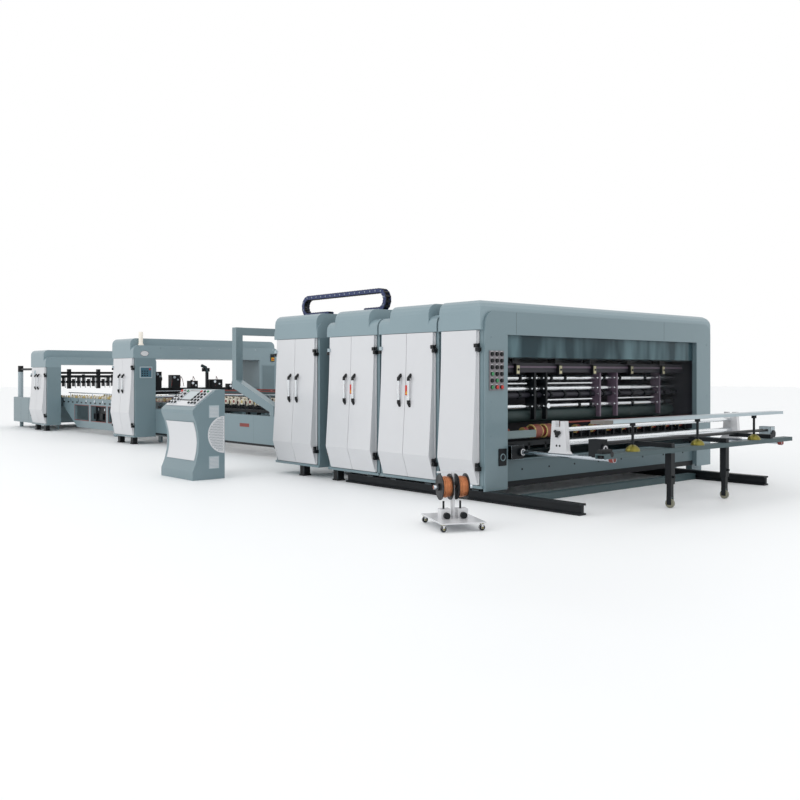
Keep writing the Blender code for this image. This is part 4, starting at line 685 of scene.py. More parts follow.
def dress_feed_deck():
    """The vacuum deck under the shafts, dark plates behind it as painted shade, a black band of painted
    shadow under the sill, and the sill and guide bar of the mouth.
    """
    deck = bmesh.new()
    mouth_block(deck, 0.74, 0.30, 0.60, 0.66, 0.02)
    mouth_block(deck, 0.14, 0.10, 0.60, 0.66, 0.02)
    for inset in [0.6 + 0.31 * i for i in range(13)]:
        block(deck, at(0.30, inset, 0.56), at(0.10, inset + 0.03, 0.64))
    piece("vacuum_deck", deck, black_steel, 0.002)
    # Dark plates across the back and along the side walls of the mouth: painted shade inside the feeder.
    back = bmesh.new()
    mouth_block(back, 0.70, 0.69, 0.66, 1.90, 0.01)
    for cheek in (across(WALL + 0.0015), across(LINE_WIDTH - WALL - 0.0085)):
        block(back, (along(0.69), cheek, 0.67), (along(0.075), cheek + 0.007, 1.66))
    piece("mouth_painted_shade_plates", back, purple_black_and_painted_shade)
    tray = bmesh.new()
    mouth_block(tray, 0.069, 0.059, 0.20, 0.46, 0.01)
    mouth_block(tray, 0.10, 0.035, 0.445, 0.46, 0.01)
    piece("mouth_sill", tray, sill_green, 0.002)
    # A black band under the sill is painted shadow between the sill and the base beam; the studs on the sill
    # are black parts.
    under = bmesh.new()
    mouth_block(under, 0.068, 0.062, 0.13, 0.205, 0.011)
    for inset in [0.75 + 0.5 * i for i in range(8)]:
        rod_x(under, along(0.06), along(0.054), across(inset), 0.33, 0.012, sides=16)
    piece("sill_painted_shadow_band_and_studs", under, black_steel, 0.001)
    bar = bmesh.new()
    block(bar, at(0.125, WALL + 0.003, 0.70), at(0.085, 1.04, 0.79))
    block(bar, at(0.16, WALL + 0.003, 0.69), at(0.12, 0.97, 0.70))
    piece("mouth_guide_bar", bar, bar_green, 0.004)
    struts, tabs = shapes(2)
    for i in range(17):
        y = across(1.62 + 0.175 * i)
        block(struts, (along(0.16), y - 0.01, 0.62), (along(0.12), y + 0.01, 0.74))
        block(tabs, (along(0.125), y + 0.055, 0.775), (along(0.11), y + 0.085, 0.80))
    piece("feed_wheel_brackets", struts, black_steel, 0.001)
    piece("feed_tabs", tabs, yellow_rubber, 0.001)
    rail = bmesh.new()
    rod_y(rail, along(0.145), across(1.55), across(LINE_WIDTH - WALL - 0.003), 0.855, 0.011, sides=14)
    piece("feed_red_rail", rail, red_rubber)


def dress_feed_wheels():
    """Two large brown wheels near the operator's end of the feed shaft, and yellow rims on the small ones."""
    low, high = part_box("feed_wheels")
    x, z = (low.x + high.x) / 2, (low.z + high.z) / 2
    reach = high.y - low.y
    rims = bmesh.new()
    for i in range(12):
        y = low.y + reach * (i + 0.5) / 12
        for side in (-1, 1):
            rod_y(rims, x, y + side * 0.0295, y + side * 0.035, z, 0.057, sides=28)
    large, hubs = shapes(2)
    for inset in (1.14, 1.36):
        y = across(inset)
        axle(large, x, y, z, 0.065, 0.086, sides=40)
        for side in (-1, 1):
            ring(rims, (x, y + side * 0.066, z), (0, 1, 0), 0.078, 0.010, around=36, section=8)
            rod_y(hubs, x, y + side * 0.06, y + side * 0.078, z, 0.03, sides=24)
    piece("large_feed_wheels", large, wheel_brown, 0.004, body="feed_wheels")
    piece("large_wheel_hubs", hubs, black_plastic, 0.002, body="feed_wheels")
    piece("feed_wheel_rims", rims, yellow_rubber, 0.001, body="feed_wheels")


# Feed table: brass domes, the stand's legs and tyres, bearing blocks on the rails, and guide tubes

RAIL_INSET = 0.6
RAIL_HEIGHT = 0.55
CARRIAGE_HEIGHT = 0.66
KNOB_HEIGHT = 0.80
JACK_INSETS = (0.58, 1.84, 3.13)
LEG_INSETS = (1.28, 2.43)
# Height over the seat and radius, along the side of a dome
DOME_SECTION = ((0.0, 0.0765), (0.014, 0.0755), (0.028, 0.07), (0.04, 0.061), (0.052, 0.048), (0.062, 0.03),
                (0.069, 0.017))


def dress_feed_table():
    """Domes and rods under the guide bar, the stand's legs, and the rails' bearings, knobs and tubes."""
    low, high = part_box("edge_guide_bar")
    stand_low, stand_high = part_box("table_stand")
    x = (stand_low.x + stand_high.x) / 2
    domes, rods = shapes(2)
    seat = stand_high.z + 0.001
    for inset in JACK_INSETS:
        y = across(inset)
        for (z_low, r_low), (z_high, r_high) in zip(DOME_SECTION, DOME_SECTION[1:]):
            rod_z(domes, x, y, seat + z_low, seat + z_high, r_low, sides=32, tip=r_high)
        rod_z(rods, x, y, seat + 0.07, high.z - 0.036, 0.0145, sides=16)
        rod_z(rods, x, y, high.z - 0.075, high.z - 0.0355, 0.03)
    piece("jack_domes", domes, brass)
    piece("jack_rods", rods, black_steel, 0.001)
    block_piece("bar_end_bracket", (x - 0.0815, low.y - 0.0005, high.z - 0.0365),
                (x + 0.0815, low.y + 0.16, high.z + 0.0012), bracket_brown, 0.003)
    block_piece("bar_front_strip", (x + 0.0795, low.y + 0.16, high.z - 0.034),
                (x + 0.0812, high.y - 0.002, high.z - 0.001), pale_grey_and_painted_shade)
    legs, tyres = shapes(2)
    for inset in LEG_INSETS:
        y = across(inset)
        axle(tyres, x, y, 0.05, 0.0185, 0.0503, sides=28)
        post(legs, x, y, 0.0385, 0.0385, 0.259, 0.6)
        post(legs, x, y, 0.0275, 0.0275, 0.118, 0.262)
        block(legs, (x - 0.0265, y - 0.0312, 0.034), (x + 0.0265, y - 0.0185, 0.131))
        block(legs, (x - 0.0265, y + 0.0185, 0.034), (x + 0.0265, y + 0.0312, 0.131))
        rod_x(legs, x + 0.036, x + 0.062, y, 0.34, 0.014, sides=12)
    piece("stand_legs", legs, black_steel, 0.002)
    piece("stand_tyres", tyres, beige_tyre, 0.006)
    bearing, rings = shapes(2)
    y = across(0.14)
    block(bearing, (x - 0.062, y - 0.09, 0.608), (x, y + 0.09, 0.70))
    rod_x(bearing, x + 0.055, x + 0.0618, y, 0.655, 0.03, sides=24)
    piece("stand_bearing", bearing, black_plastic, 0.004)
    knobs = bmesh.new()
    for name in ("side_rail_near", "side_rail_far"):
        rail_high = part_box(name)[1]
        y = across(RAIL_INSET if name.endswith("near") else LINE_WIDTH - RAIL_INSET)
        rod_x(knobs, rail_high.x - 0.062, rail_high.x + 0.001, y, RAIL_HEIGHT, 0.0335, sides=24)
    piece("rail_end_knobs", knobs, red_rubber, 0.008)
    blocks = bmesh.new()
    for end_wall, side in ((WALL, 1), (LINE_WIDTH - WALL, -1)):
        y = across(RAIL_INSET if side > 0 else LINE_WIDTH - RAIL_INSET)
        ends = across(end_wall), y + side * 0.051
        block(blocks, (along(0.0), ends[0], 0.469), (along(-0.061), ends[1], 0.631))
        rod_x(blocks, along(-0.06), along(-0.091), y, RAIL_HEIGHT, 0.0515, sides=24)
        ring(rings, (along(-0.0915), y, RAIL_HEIGHT), (1, 0, 0), 0.034, 0.006)
    carriage_x = along(-1.16)
    y = across(RAIL_INSET)
    post(blocks, carriage_x, y, 0.0805, 0.0605, 0.573, 0.7605)
    rod_x(blocks, carriage_x + 0.07, carriage_x + 0.101, y, CARRIAGE_HEIGHT, 0.0515, sides=24)
    ring(rings, (carriage_x + 0.1015, y, CARRIAGE_HEIGHT), (1, 0, 0), 0.03, 0.007)
    far_block = bmesh.new()
    post(far_block, carriage_x, -y, 0.0805, 0.0605, 0.573, 0.7605)
    piece("far_carriage_block", far_block, pale_grey_and_painted_shade, 0.006)
    piece("rail_bearing_blocks", blocks, black_steel, 0.004)
    piece("bearing_rings", rings, white)
    bracket = bmesh.new()
    frame_x = along(-0.64)
    face = across(RAIL_INSET) - 0.035
    hub = Vector((frame_x, face - 0.022, KNOB_HEIGHT))
    for spoke in range(3):
        turn = math.radians(20 + 120 * spoke)
        reach = Vector((math.cos(turn), 0, math.sin(turn))) * 0.045
        pipe(bracket, [hub, hub + reach], 0.016, sides=12)
    rod_y(bracket, frame_x, face + 0.002, face - 0.034, KNOB_HEIGHT, 0.026, sides=24)
    for shift in (-0.022, 0.022):
        rod_y(bracket, frame_x + shift, face + 0.002, face - 0.002, 0.66, 0.013, sides=16)
    piece("guide_bracket_knob", bracket, black_plastic, 0.002)
    tubes = bmesh.new()
    for z, radius in ((0.84, 0.0258), (0.693, 0.0358)):
        rod_y(tubes, frame_x, across(0.637), across(LINE_WIDTH - 0.637), z, radius, sides=24)
    piece("guide_tubes", tubes, pale_chrome)


# Folding section: belts and cheeks on the carriers, rows of discs, guide rods, the bed's trim, and painted
# shadow under the bed

CARRIER_ROWS = (-0.55, 0.55)
DISC_ROWS = (-0.98, -0.2, 0.2, 0.98)
DISC_COUNT = 40
DISC_PITCH = 0.145
DISC_START = 4.62


def dress_folding():
    """Belts and cheeks on the carriers, dense rows of discs in dark frames, guide rods and red belts."""
    low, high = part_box("folding_carriers")
    belts = bmesh.new()
    for y in CARRIER_ROWS:
        top = high.z + 0.002
        block(belts, (low.x + 0.02, y - 0.032, top - 0.006), (high.x - 0.02, y + 0.032, top + 0.006))
        for end in (low.x + 0.02, high.x - 0.02):
            axle(belts, end, y, top - 0.06, 0.032, 0.064, sides=24)
    for y in (-0.86, 0.86):
        block(belts, (along(10.4), y - 0.02, 1.075), (along(4.5), y + 0.02, 1.087))
    piece("folding_belts", belts, red_rubber, 0.002)
    cheeks = bmesh.new()
    for y in CARRIER_ROWS:
        for side in (-1, 1):
            face = y + side * 0.0405
            block(cheeks, (low.x + 0.03, face, low.z + 0.004),
                  (high.x - 0.03, face + side * 0.003, high.z - 0.012))
    piece("carrier_cheeks", cheeks, dark_green, 0.001)
    discs, red_hubs, frames, yellow_hubs = shapes(4)
    for k, y in enumerate(DISC_ROWS):
        for i in range(DISC_COUNT):
            x = along(DISC_START + DISC_PITCH * i)
            z = 0.93 + (0.018 if (i + k) % 2 else 0.0)
            axle(discs, x, y, z, 0.018, 0.056)
            hub = red_hubs if (i + k) % 3 else yellow_hubs
            axle(hub, x, y, z, 0.024, 0.03, sides=14)
            if i % 2 == 0:
                block(frames, (x - 0.012, y - 0.034, 0.80), (x + 0.012, y - 0.026, z + 0.04))
                block(frames, (x - 0.012, y + 0.026, 0.80), (x + 0.012, y + 0.034, z + 0.04))
        block(frames, (along(DISC_START + DISC_PITCH * DISC_COUNT), y - 0.035, 0.76),
              (along(4.5), y + 0.035, 0.81))
        for place in (4.7, 7.47, 10.2):
            x = along(place)
            post(frames, x, y, 0.035, 0.03, 0.555, 0.77)
    piece("folding_discs", discs, cream_disc, 0.003)
    piece("disc_hubs_red", red_hubs, red_rubber)
    piece("disc_hubs_yellow", yellow_hubs, yellow_rubber)
    piece("disc_frames", frames, black_steel, 0.002)
    guides = bmesh.new()
    for y in (-1.06, 1.06):
        rod(guides, (along(4.45), y, 1.12), (along(10.5), y, 1.04), 0.011, sides=12)
        for place in (4.9, 6.6, 8.4, 10.1):
            z = 1.12 - 0.08 * (place - 4.45) / 6.05
            rod_z(guides, along(place), y, 0.70, z, 0.009, sides=10)
            inner = math.copysign(1.15, y)
            rod_y(guides, along(place), y, inner, 0.70, 0.009, sides=10)
    piece("fold_guide_rods", guides, chrome)
    bed_low, bed_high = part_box("folding_bed")
    label, lines, bed_painted_shadow = shapes(3)
    block(label, (along(7.27), bed_low.y - 0.003, 0.512), (along(6.95), bed_low.y + 0.001, 0.575))
    piece("bed_blank_label", label, red_rubber)
    for side in (-1, 1):
        face = side * bed_high.y
        ends = face - side * 0.001, face + side * 0.0006
        for place in (5.3, 6.8, 8.3, 9.8):
            block(lines, (along(place) - 0.0015, ends[0], 0.235), (along(place) + 0.0015, ends[1], 0.725))
        # A black band set in under each side of the bed: painted shadow under it.
        ends = face - side * 0.12, face - side * 0.01
        block(bed_painted_shadow, (along(10.9), ends[0], 0.19), (along(3.95), ends[1], 0.231))
    piece("bed_seams", lines, sill_green)
    piece("bed_painted_shadow_band", bed_painted_shadow, black_steel, 0.001)


# Portals: post windows, a blue membrane panel, bare badges, bolts and seams, and the stitching heads

# Node, inset of the near post, depth of a post and height of the roof
PORTALS = (("stitcher_portal", 0.70, 0.50, 2.07), ("counter_portal", 0.95, 0.40, 1.91))
BADGE_INSET = 0.95
BADGE_HEIGHT = 1.9
BADGE_SQUASH = 0.62


def dress_portals():
    """Post windows, a blue operator panel, switches, bare badges, bolts and seams."""
    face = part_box("stitcher_cabinet")[1].x
    case, membrane_face = shapes(2)
    block(case, (face - 0.002, across(0.84), 1.385), (face + 0.012, across(1.12), 1.625))
    piece("stitcher_panel_case", case, pale_grey_and_painted_shade, 0.004)
    block(membrane_face, (face + 0.011, across(0.86), 1.405), (face + 0.0135, across(1.10), 1.605))
    piece("stitcher_panel_film", membrane_face, membrane, 0.001)
    reds, darks = shapes(2)
    rod_x(reds, face + 0.012, face + 0.028, across(1.06), 1.57, 0.018)
    for row in range(3):
        for column in range(3):
            y, z = across(0.895 + 0.055 * column), 1.44 + 0.045 * row
            block(darks, (face + 0.012, y - 0.014, z - 0.011), (face + 0.017, y + 0.014, z + 0.011))
    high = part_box("stitcher_portal")[1]
    post_side = across(LINE_WIDTH - PORTALS[0][1] - PORTALS[0][2])
    block_piece("post_window_frame", (high.x - 0.001, post_side + 0.06, 0.98),
                (high.x + 0.003, high.y - 0.08, 1.68), grey, 0.001)
    # A flat dark panel stands for the recessed window; its darkness is partly painted shade.
    block_piece("post_window", (high.x + 0.002, post_side + 0.085, 1.005),
                (high.x + 0.0045, high.y - 0.105, 1.655), window_glass_and_painted_shade)
    switch, knob = shapes(2)
    block(switch, (high.x - 0.001, high.y - 0.20, 1.76), (high.x + 0.02, high.y - 0.10, 1.93))
    block(knob, (high.x + 0.019, high.y - 0.19, 1.775), (high.x + 0.023, high.y - 0.11, 1.85))
    rod_x(reds, high.x + 0.02, high.x + 0.04, high.y - 0.15, 1.81, 0.022)
    piece("post_switch_box", switch, black_plastic, 0.002)
    piece("post_switch_plate", knob, yellow_plastic)
    piece("portal_red_buttons", reds, red_plastic, 0.002)
    piece("portal_dark_buttons", darks, black_plastic, 0.001)
    badge = bmesh.new()
    rod_x(badge, face - 0.001, face + 0.006, across(BADGE_INSET), BADGE_HEIGHT, 0.095, sides=48)
    about = Matrix.Translation((0, 0, -BADGE_HEIGHT))
    bmesh.ops.scale(badge, vec=(1, 1, BADGE_SQUASH), space=about, verts=badge.verts)
    piece("bare_badge_plate", badge, white, 0.002)
    ring_shape = bmesh.new()
    ring(ring_shape, (face + 0.005, across(BADGE_INSET), BADGE_HEIGHT), (1, 0, 0), 0.09, 0.004,
         around=48, section=6)
    bmesh.ops.scale(ring_shape, vec=(1, 1, BADGE_SQUASH), space=about, verts=ring_shape.verts)
    piece("badge_rim", ring_shape, black_steel)
    door_badge = bmesh.new()
    rod_y(door_badge, along(17.12), across(0.96), across(0.941), 1.5, 0.065, sides=40)
    piece("counter_door_badge", door_badge, pale_grey_and_painted_shade, 0.002, body="counter_door_left")
    bolts, seams = shapes(2)
    for name, inset, depth, roof in PORTALS:
        low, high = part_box(name)
        for y in [low.y + 0.14 + i * (high.y - low.y - 0.28) / 7 for i in range(8)]:
            rod_x(bolts, high.x - 0.001, high.x + 0.005, y, roof - 0.05, 0.010, sides=6)
        post_side = across(LINE_WIDTH - inset - depth)
        block(seams, (low.x - 0.0006, post_side + 0.04, 0.28), (low.x + 0.001, post_side + 0.046, 1.6))
    piece("portal_bolts", bolts, chrome, 0.001)
    piece("portal_seams", seams, black_plastic)


# Inset, top and width of each stitching head
HEADS = ((1.44, 1.52, 0.14), (1.85, 1.45, 0.20), (2.29, 1.32, 0.18), (2.86, 1.35, 0.28), (3.23, 1.25, 0.12))


def dress_stitching_heads():
    """Rollers, plates, motors and red wires on the stitching heads, with the cross shafts and belts."""
    low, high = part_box("stitching_heads")
    x = (low.x + high.x) / 2
    wheels, plates, wires, motors = shapes(4)
    for inset, top, width in HEADS:
        y = across(inset)
        reach = width / 2
        block(plates, (high.x - 0.012, y - reach + 0.01, 1.06),
              (high.x + 0.004, y + reach - 0.01, top - 0.02))
        rod_x(wheels, high.x - 0.02, high.x + 0.012, y - reach * 0.4, top - 0.05, 0.03, sides=24)
        rod_x(wheels, high.x - 0.02, high.x + 0.012, y + reach * 0.4, top - 0.10, 0.02)
    for inset in (1.74, 1.94, 2.24, 2.82, 3.3):
        y = across(inset)
        rod_z(motors, x + 0.05, y, 1.20, 1.30, 0.035, sides=24)
        rod_z(motors, x - 0.04, y + 0.05, 1.17, 1.34, 0.022)
        pipe(wires, [(high.x, y, 1.2), (high.x - 0.005, y + 0.02, 1.36), (x, y + 0.07, 1.42),
                     (x - 0.04, y + 0.13, 1.36), (x - 0.05, y + 0.17, 1.2)], 0.006, sides=8)
    pipe(motors, [(x, across(2.66), 1.5), (x, across(2.62), 1.62), (x, across(2.52), 1.66)], 0.035,
         sides=16)
    piece("wire_rollers", wheels, chrome, 0.002)
    piece("head_plates_front", plates, black_steel, 0.002)
    piece("head_motors", motors, dark_green, 0.002)
    piece("head_wires", wires, red_rubber)
    bars = bmesh.new()
    reach = high.y - 0.001
    for z, radius in ((0.97, 0.03), (1.1, 0.012)):
        rod_y(bars, x + 0.095, -reach, reach, z, radius)
    piece("stitcher_cross_shafts", bars, chrome)
    belt = bmesh.new()
    for y in (-0.9, -0.55, 0.0, 0.55, 0.9):
        block(belt, (along(11.7), y - 0.03, 0.955), (along(10.7), y + 0.03, 0.965))
    piece("stitcher_belts", belt, red_rubber, 0.001)


# Counting section: belts, discs, slotted skirts and its works, and the delivery table

CONVEYOR_SIDE = 1.03


def dress_counting():
    """Belts and discs along the conveyor, red window edges, slots and side rails, and the counting works.
    The slots and the plates behind the windows are black as painted shade.
    """
    low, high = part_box("counting_conveyor")
    belts, yellow = shapes(2)
    for i in range(9):
        y = -0.88 + 1.76 * i / 8
        block(yellow if i % 3 == 0 else belts, (low.x + 0.12, y - 0.022, 0.842),
              (high.x - 0.1, y + 0.022, 0.85))
    rollers, discs = shapes(2)
    for i in range(13):
        x = along(10.95 + i * 0.5)
        rod_y(rollers, x, low.y + 0.09, high.y - 0.09, 0.80, 0.035, sides=16)
    for i in range(34):
        x = along(11.9 + 0.165 * i)
        for y in (-0.93, -0.45, 0.45, 0.93):
            chosen = discs if i % 3 else yellow
            axle(chosen, x, y, 0.87, 0.012, 0.045, sides=16)
    piece("red_belts", belts, red_rubber, 0.001)
    piece("yellow_belts", yellow, yellow_rubber, 0.001)
    piece("idle_rollers", rollers, chrome)
    piece("conveyor_discs", discs, cream_disc, 0.002)
    slots, edges = shapes(2)
    for side in (-1, 1):
        face = side * CONVEYOR_SIDE
        ends = face - side * 0.001, face + side * 0.0008
        # Black marks for the slots: painted shade inside them.
        for i in range(22):
            x = along(11.0 + i * 0.285)
            block(slots, (x - 0.05, ends[0], 0.735), (x + 0.05, ends[1], 0.775))
        for i in range(4):
            right, left = along(11.73 + 1.03 * i), along(12.625 + 1.03 * i)
            for z in (0.31, 0.69):
                block(edges, (left - 0.012, ends[0], z - 0.007), (right + 0.012, ends[1], z + 0.007))
            for x in (left, right):
                block(edges, (x - 0.007, ends[0], 0.303), (x + 0.007, ends[1], 0.697))
    piece("skirt_slot_painted_shade", slots, black_plastic)
    piece("window_edges", edges, red_rubber)
    rails_top = bmesh.new()
    for side in (-1, 1):
        y = side * 0.985
        rod_x(rails_top, along(11.8), along(16.2), y, 0.99, 0.012, sides=12)
        for place in (11.9, 13.3, 14.7, 16.1):
            rod_z(rails_top, along(place), y, 0.855, 0.99, 0.009, sides=10)
    piece("conveyor_side_rails", rails_top, chrome)
    works, bright = shapes(2)
    x = along(16.87)
    for i in range(16):
        y = -1.02 + 2.04 * i / 15
        block(works, (x - 0.06, y - 0.02, 1.14), (x + 0.055, y + 0.02, 1.34 + 0.06 * (i % 3)))
        rod_z(bright, x + 0.03, y + 0.045, 1.1, 1.4, 0.011, sides=12)
    block(works, (x - 0.045, -1.1, 1.37), (x + 0.045, 1.1, 1.44))
    for side in (-1, 1):
        ends = side * 0.9, side * 0.88
        # A dark plate behind each row of windows: painted shade inside the conveyor.
        block(works, (along(14.7), ends[0], 0.3), (along(11.3), ends[1], 0.69))
        for i in range(9):
            place = 11.5 + 0.37 * i
            rod_y(bright, along(place), side * 0.9, side * 0.93, 0.6, 0.03)
            ends = side * 0.9, side * 0.95
            block(works, (along(place + 0.24), ends[0], 0.36), (along(place + 0.08), ends[1], 0.5))
    piece("counting_works_and_painted_shade_plates", works, black_steel, 0.002)
    piece("counting_cylinders", bright, chrome)


def dress_delivery():
    """Seams and a steel top sheet on the table, and the black head of the sensor post."""
    low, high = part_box("delivery_table")
    seams = bmesh.new()
    for share in (0.33, 0.66):
        x = low.x + (high.x - low.x) * share
        for y in (low.y, high.y):
            post(seams, x, y, 0.003, 0.0006, 0.2, 0.8)
    piece("table_seams", seams, black_plastic)
    block_piece("table_top_sheet", (low.x + 0.03, low.y + 0.03, 0.829),
                (high.x - 0.03, high.y - 0.03, 0.834), chrome, 0.001)
    x, y = along(19.1), low.y + 0.14
    mast, head = shapes(2)
    rod_z(mast, x, y, 0.834, 1.53, 0.0705, sides=28)
    piece("sensor_post", mast, pale_grey_and_painted_shade, 0.002)
    rod_z(head, x, y, 1.53, 1.7, 0.0715, sides=28)
    rod_x(head, x + 0.06, along(17.5), y, 1.6, 0.0306, sides=16)
    piece("sensor_head", head, black_plastic, 0.004)


# Console: vents, perforated half disc, screen and the buttons of its sloping top

GRILLE_HEIGHT = 0.62


def dress_console():
    low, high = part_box("console_body")
    x_mid = (low.x + high.x) / 2
    vents, louvre_painted_shade = shapes(2)
    # Pale grey plates behind the white slats: painted shade of the recess behind the louvres.
    for bottom in (0.16, 1.0 - 0.13):
        block(louvre_painted_shade, (high.x - 0.001, low.y + 0.25, bottom - 0.012),
              (high.x + 0.0015, low.y + 0.41, bottom + 0.162))
        for i in range(8):
            z = bottom + 0.019 * i
            block(vents, (high.x - 0.001, low.y + 0.262, z), (high.x + 0.005, low.y + 0.398, z + 0.009))
    piece("console_louvres", vents, white, 0.0015)
    piece("console_louvre_painted_shade_plates", louvre_painted_shade, pale_grey_and_painted_shade)
    disc = bmesh.new()
    angles = [math.pi * i / 28 for i in range(29)]
    outline = [(high.y - 0.006 - 0.26 * math.sin(a), GRILLE_HEIGHT - 0.26 * math.cos(a)) for a in angles]
    plate(disc, outline, high.x - 0.001, high.x + 0.003, "X")
    piece("console_side_grille", disc, white, 0.001)
    holes = bmesh.new()
    for i in range(12):
        for j in range(22):
            y = high.y - 0.03 - 0.02 * i - (0.01 if j % 2 else 0)
            z = 0.38 + 0.0225 * j
            if math.hypot(high.y - 0.006 - y, z - GRILLE_HEIGHT) < 0.24:
                rod_x(holes, high.x + 0.002, high.x + 0.0036, y, z, 0.0068, sides=8)
    piece("console_grille_holes", holes, hole_grey)
    near = Vector((0, low.y + 0.03, 1.0))
    far = Vector((0, low.y + 0.36, 1.25))
    slope = (far - near).normalized()
    out = Vector((0, -slope.z, slope.y))

    def on_top(x, share, lift):
        return Vector((x, 0, 0)) + near + (far - near) * share + out * (0.0125 + lift)

    def sloping_plate(shape, left, right, start, end, lift):
        places = ((left, start), (right, start), (right, end), (left, end))
        corners = [on_top(x, share, lift) for x, share in places]
        lower = [shape.verts.new(c - out * 0.004) for c in corners]
        upper = [shape.verts.new(c + out * 0.004) for c in corners]
        shape.faces.new(lower[::-1])
        shape.faces.new(upper)
        for i in range(4):
            shape.faces.new((lower[i], lower[(i + 1) % 4], upper[(i + 1) % 4], upper[i]))
    frame_shape, screen = shapes(2)
    sloping_plate(frame_shape, x_mid - 0.17, x_mid + 0.17, 0.34, 0.88, 0.0)
    sloping_plate(screen, x_mid - 0.15, x_mid + 0.15, 0.38, 0.84, 0.002)
    piece("console_screen_frame", frame_shape, black_plastic, 0.002)
    piece("console_screen", screen, screen_grey, 0.001)
    reds, greens, blacks, collars = shapes(4)
    for start, end in ((low.x + 0.09, x_mid - 0.2), (x_mid + 0.2, high.x - 0.09)):
        for row in range(5):
            for column in range(3):
                x = start + (end - start) * column / 2
                share = 0.2 + 0.62 * row / 4
                chosen = reds if (row, column) == (4, 0) else greens if (row, column) == (4, 2) else blacks
                rod(collars, on_top(x, share, -0.002), on_top(x, share, 0.005), 0.022, tip=0.02)
                rod(chosen, on_top(x, share, 0.003), on_top(x, share, 0.0225), 0.0185, tip=0.018)
    piece("console_collars", collars, chrome, 0.001)
    piece("console_red_buttons", reds, red_plastic, 0.002)
    piece("console_green_buttons", greens, green_plastic, 0.002)
    piece("console_black_buttons", blacks, black_plastic, 0.002)
    front = bmesh.new()
    profile = []
    for i in range(21):
        z = 0.27 + 0.53 * i / 20
        profile.append((low.y + 0.095 * math.sin(math.pi * (z - 0.12) / 0.80), z))
    plate(front, [(y - 0.004, z) for y, z in profile] + [(y + 0.004, z) for y, z in profile[::-1]],
          low.x + 0.07, high.x - 0.06, "X")
    piece("console_front_panel", front, white, 0.0015)


# Wire cart: wound copper, black flanges, axle ends, castors and wire guides

SPOOL_HEIGHT = 0.385
CASTOR_HEIGHT = 0.03


def on_cart(u, v, z):
    """World place of a point on the cart: u along its axle, v across, z up."""
    middle_x, middle_y = along(-0.93), across(-1.38)
    c, s = math.cos(CART_TURN), math.sin(CART_TURN)
    return Vector((middle_x + u * c - v * s, middle_y + u * s + v * c, z))


def on_axle(u):
    """World place of a point on the axle of the spools."""
    return on_cart(u, 0, SPOOL_HEIGHT)


def dress_cart():
    """Windings, flanges and axle ends that turn with the spools, and the cart's castors and guides."""
    axis = on_cart(1, 0, 0) - on_cart(0, 0, 0)
    windings, flanges, caps = shapes(3)
    for side in (-1, 1):
        for i in range(13):
            u = side * (0.036 + 0.0073 * i)
            ring(windings, on_axle(u), axis, 0.098 - 0.0015 * abs(i - 6), 0.0065, around=40, section=8)
        rod(windings, on_axle(side * 0.033), on_axle(side * 0.127), 0.096, sides=40)
        for u in (0.029, 0.131):
            rod(flanges, on_axle(side * (u - 0.0045)), on_axle(side * (u + 0.0045)), 0.1255, sides=48)
        rod(flanges, on_axle(side * 0.135), on_axle(side * 0.155), 0.035, sides=28)
        rod(caps, on_axle(side * 0.154), on_axle(side * 0.1945), 0.0215, sides=24)
    piece("copper_windings", windings, copper, body="wire_spools")
    piece("spool_flanges", flanges, black_plastic, 0.001, body="wire_spools")
    piece("axle_ends", caps, chrome, 0.002, body="wire_spools")
    half_u, half_v = 0.22, 0.33
    tyres, forks = shapes(2)
    for u in (-half_u + 0.03, half_u - 0.03):
        for v in (-half_v + 0.04, half_v - 0.04):
            rod(tyres, on_cart(u, v - 0.0105, CASTOR_HEIGHT), on_cart(u, v + 0.0105, CASTOR_HEIGHT),
                0.0302, sides=24)
            for side in (-1, 1):
                rod(forks, on_cart(u, v + side * 0.0105, CASTOR_HEIGHT),
                    on_cart(u, v + side * 0.0235, CASTOR_HEIGHT), 0.009, sides=12)
            rod(forks, on_cart(u, v, 0.066), on_cart(u, v, 0.0745), 0.024)
    piece("cart_tyres", tyres, black_plastic, 0.003)
    piece("cart_castor_forks", forks, brass, 0.001)
    stands = bmesh.new()
    for u in (-0.085, 0.085):
        rod(stands, on_cart(u, -0.101, 0.117), on_cart(u, -0.054, 0.117), 0.031, sides=24)
        rod(stands, on_cart(u - 0.012, -0.01, 0.175), on_cart(u - 0.012, -0.01, 0.25), 0.01, sides=12)
    piece("wire_guides", stands, black_steel, 0.002)


# Energy chain: single links with side plates and cross bars, along the same loop

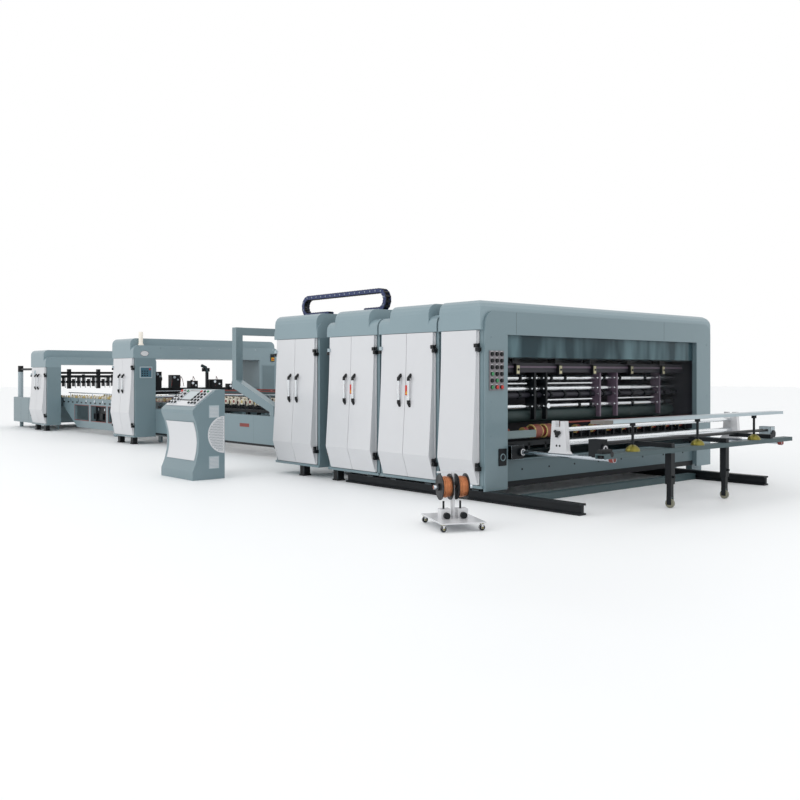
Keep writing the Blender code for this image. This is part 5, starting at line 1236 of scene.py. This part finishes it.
def dress_chain():
    low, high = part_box("cable_chain")
    half, bend = 0.033, 0.13
    seat = low.z + half
    left, right = 4.13, 2.46
    route = [(along(3.62), seat), (along(left), seat)]
    angles = [math.pi * i / 24 for i in range(25)]
    route += [(along(left) - bend * math.sin(a), seat + bend - bend * math.cos(a)) for a in angles[1:]]
    route += [(along(right) + bend * math.sin(a), seat + bend + bend * math.cos(a)) for a in angles]
    route.append((along(2.80), seat))
    lengths = [0.0]
    for a, b in zip(route, route[1:]):
        lengths.append(lengths[-1] + math.dist(a, b))
    pitch = 0.058

    def on_route(distance):
        for i in range(len(route) - 1):
            if distance <= lengths[i + 1] or i == len(route) - 2:
                share = (distance - lengths[i]) / max(lengths[i + 1] - lengths[i], 1e-9)
                a, b = Vector(route[i]), Vector(route[i + 1])
                return a.lerp(b, share), (b - a).normalized()
    links, bars, dots = shapes(3)
    count = int(lengths[-1] / pitch)
    for i in range(count):
        middle, run = on_route((i + 0.5) * pitch)
        turn = Matrix(((run.x, 0, -run.y, middle.x), (0, 1, 0, 0), (run.y, 0, run.x, middle.y),
                       (0, 0, 0, 1)))
        for y in (low.y + 0.009, high.y - 0.009):
            for shift, reach, thin in ((0.0, 0.034, 0.0045), (0.018, 0.014, 0.0075)):
                corners = block(links, (shift - reach, y - thin, -0.028), (shift + reach, y + thin, 0.028))
                bmesh.ops.transform(links, matrix=turn, verts=corners)
        if i % 2:
            corners = rod_y(dots, 0, low.y - 0.0005, low.y + 0.01, 0, 0.009, sides=12)
            bmesh.ops.transform(dots, matrix=turn, verts=corners)
        for z in (-0.0295, 0.0295):
            corners = block(bars, (-0.012, low.y + 0.004, z - 0.0035), (0.012, high.y - 0.004, z + 0.0035))
            bmesh.ops.transform(bars, matrix=turn, verts=corners)
    made = piece("chain_links", links, blue_links, 0.002)
    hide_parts("cable_chain")
    piece("chain_bars", bars, black_plastic, 0.001)
    piece("chain_pins", dots, pale_grey_and_painted_shade)
    cables = bmesh.new()
    for y in (low.y + 0.035, (low.y + high.y) / 2, high.y - 0.035):
        pipe(cables, [(u, y, v) for u, v in route], 0.011, sides=8)
    piece("chain_cables", cables, black_plastic)


# Housings: bolts, seams and a bearing plate on the end plate, and seams on the drive side

def dress_housings():
    bolts = bmesh.new()
    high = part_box("feeder_end_plate")[1]
    for side in (-1, 1):
        y = side * (high.y - 0.2)
        for z in (0.35, 0.75, 1.15, 1.9):
            rod_x(bolts, high.x - 0.001, high.x + 0.004, y + side * 0.1, z, 0.008, sides=6)
    piece("end_plate_bolts", bolts, grey)
    seams = bmesh.new()
    for place in (-1.9, 1.2):
        block(seams, (high.x - 0.001, place, 1.935), (high.x + 0.0005, place + 0.003, 2.195))
    for name in ("feeder", "printer_a", "printer_b", "slotter"):
        c_low, c_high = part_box(name + "_drive_casing")
        x = (c_low.x + c_high.x) / 2
        block(seams, (x - 0.003, c_high.y - 0.0665, 0.5), (x + 0.003, c_high.y - 0.0655, 1.9))
    piece("panel_seams", seams, black_steel)
    plate_shape, ring_shape = shapes(2)
    block(plate_shape, (high.x - 0.001, across(0.27), 0.40), (high.x + 0.012, across(0.40), 0.60))
    piece("leg_bearing_plate", plate_shape, black_steel, 0.003)
    ring(ring_shape, (high.x + 0.013, across(0.335), 0.50), (1, 0, 0), 0.038, 0.006)
    piece("leg_bearing_ring", ring_shape, grey)


set_camera()
set_studio()
paint_nodes()
dress_doors()
dress_button_panel()
dress_feeder_works()
dress_feed_deck()
dress_feed_wheels()
dress_feed_table()
dress_folding()
dress_portals()
dress_stitching_heads()
dress_counting()
dress_delivery()
dress_console()
dress_cart()
dress_chain()
dress_housings()
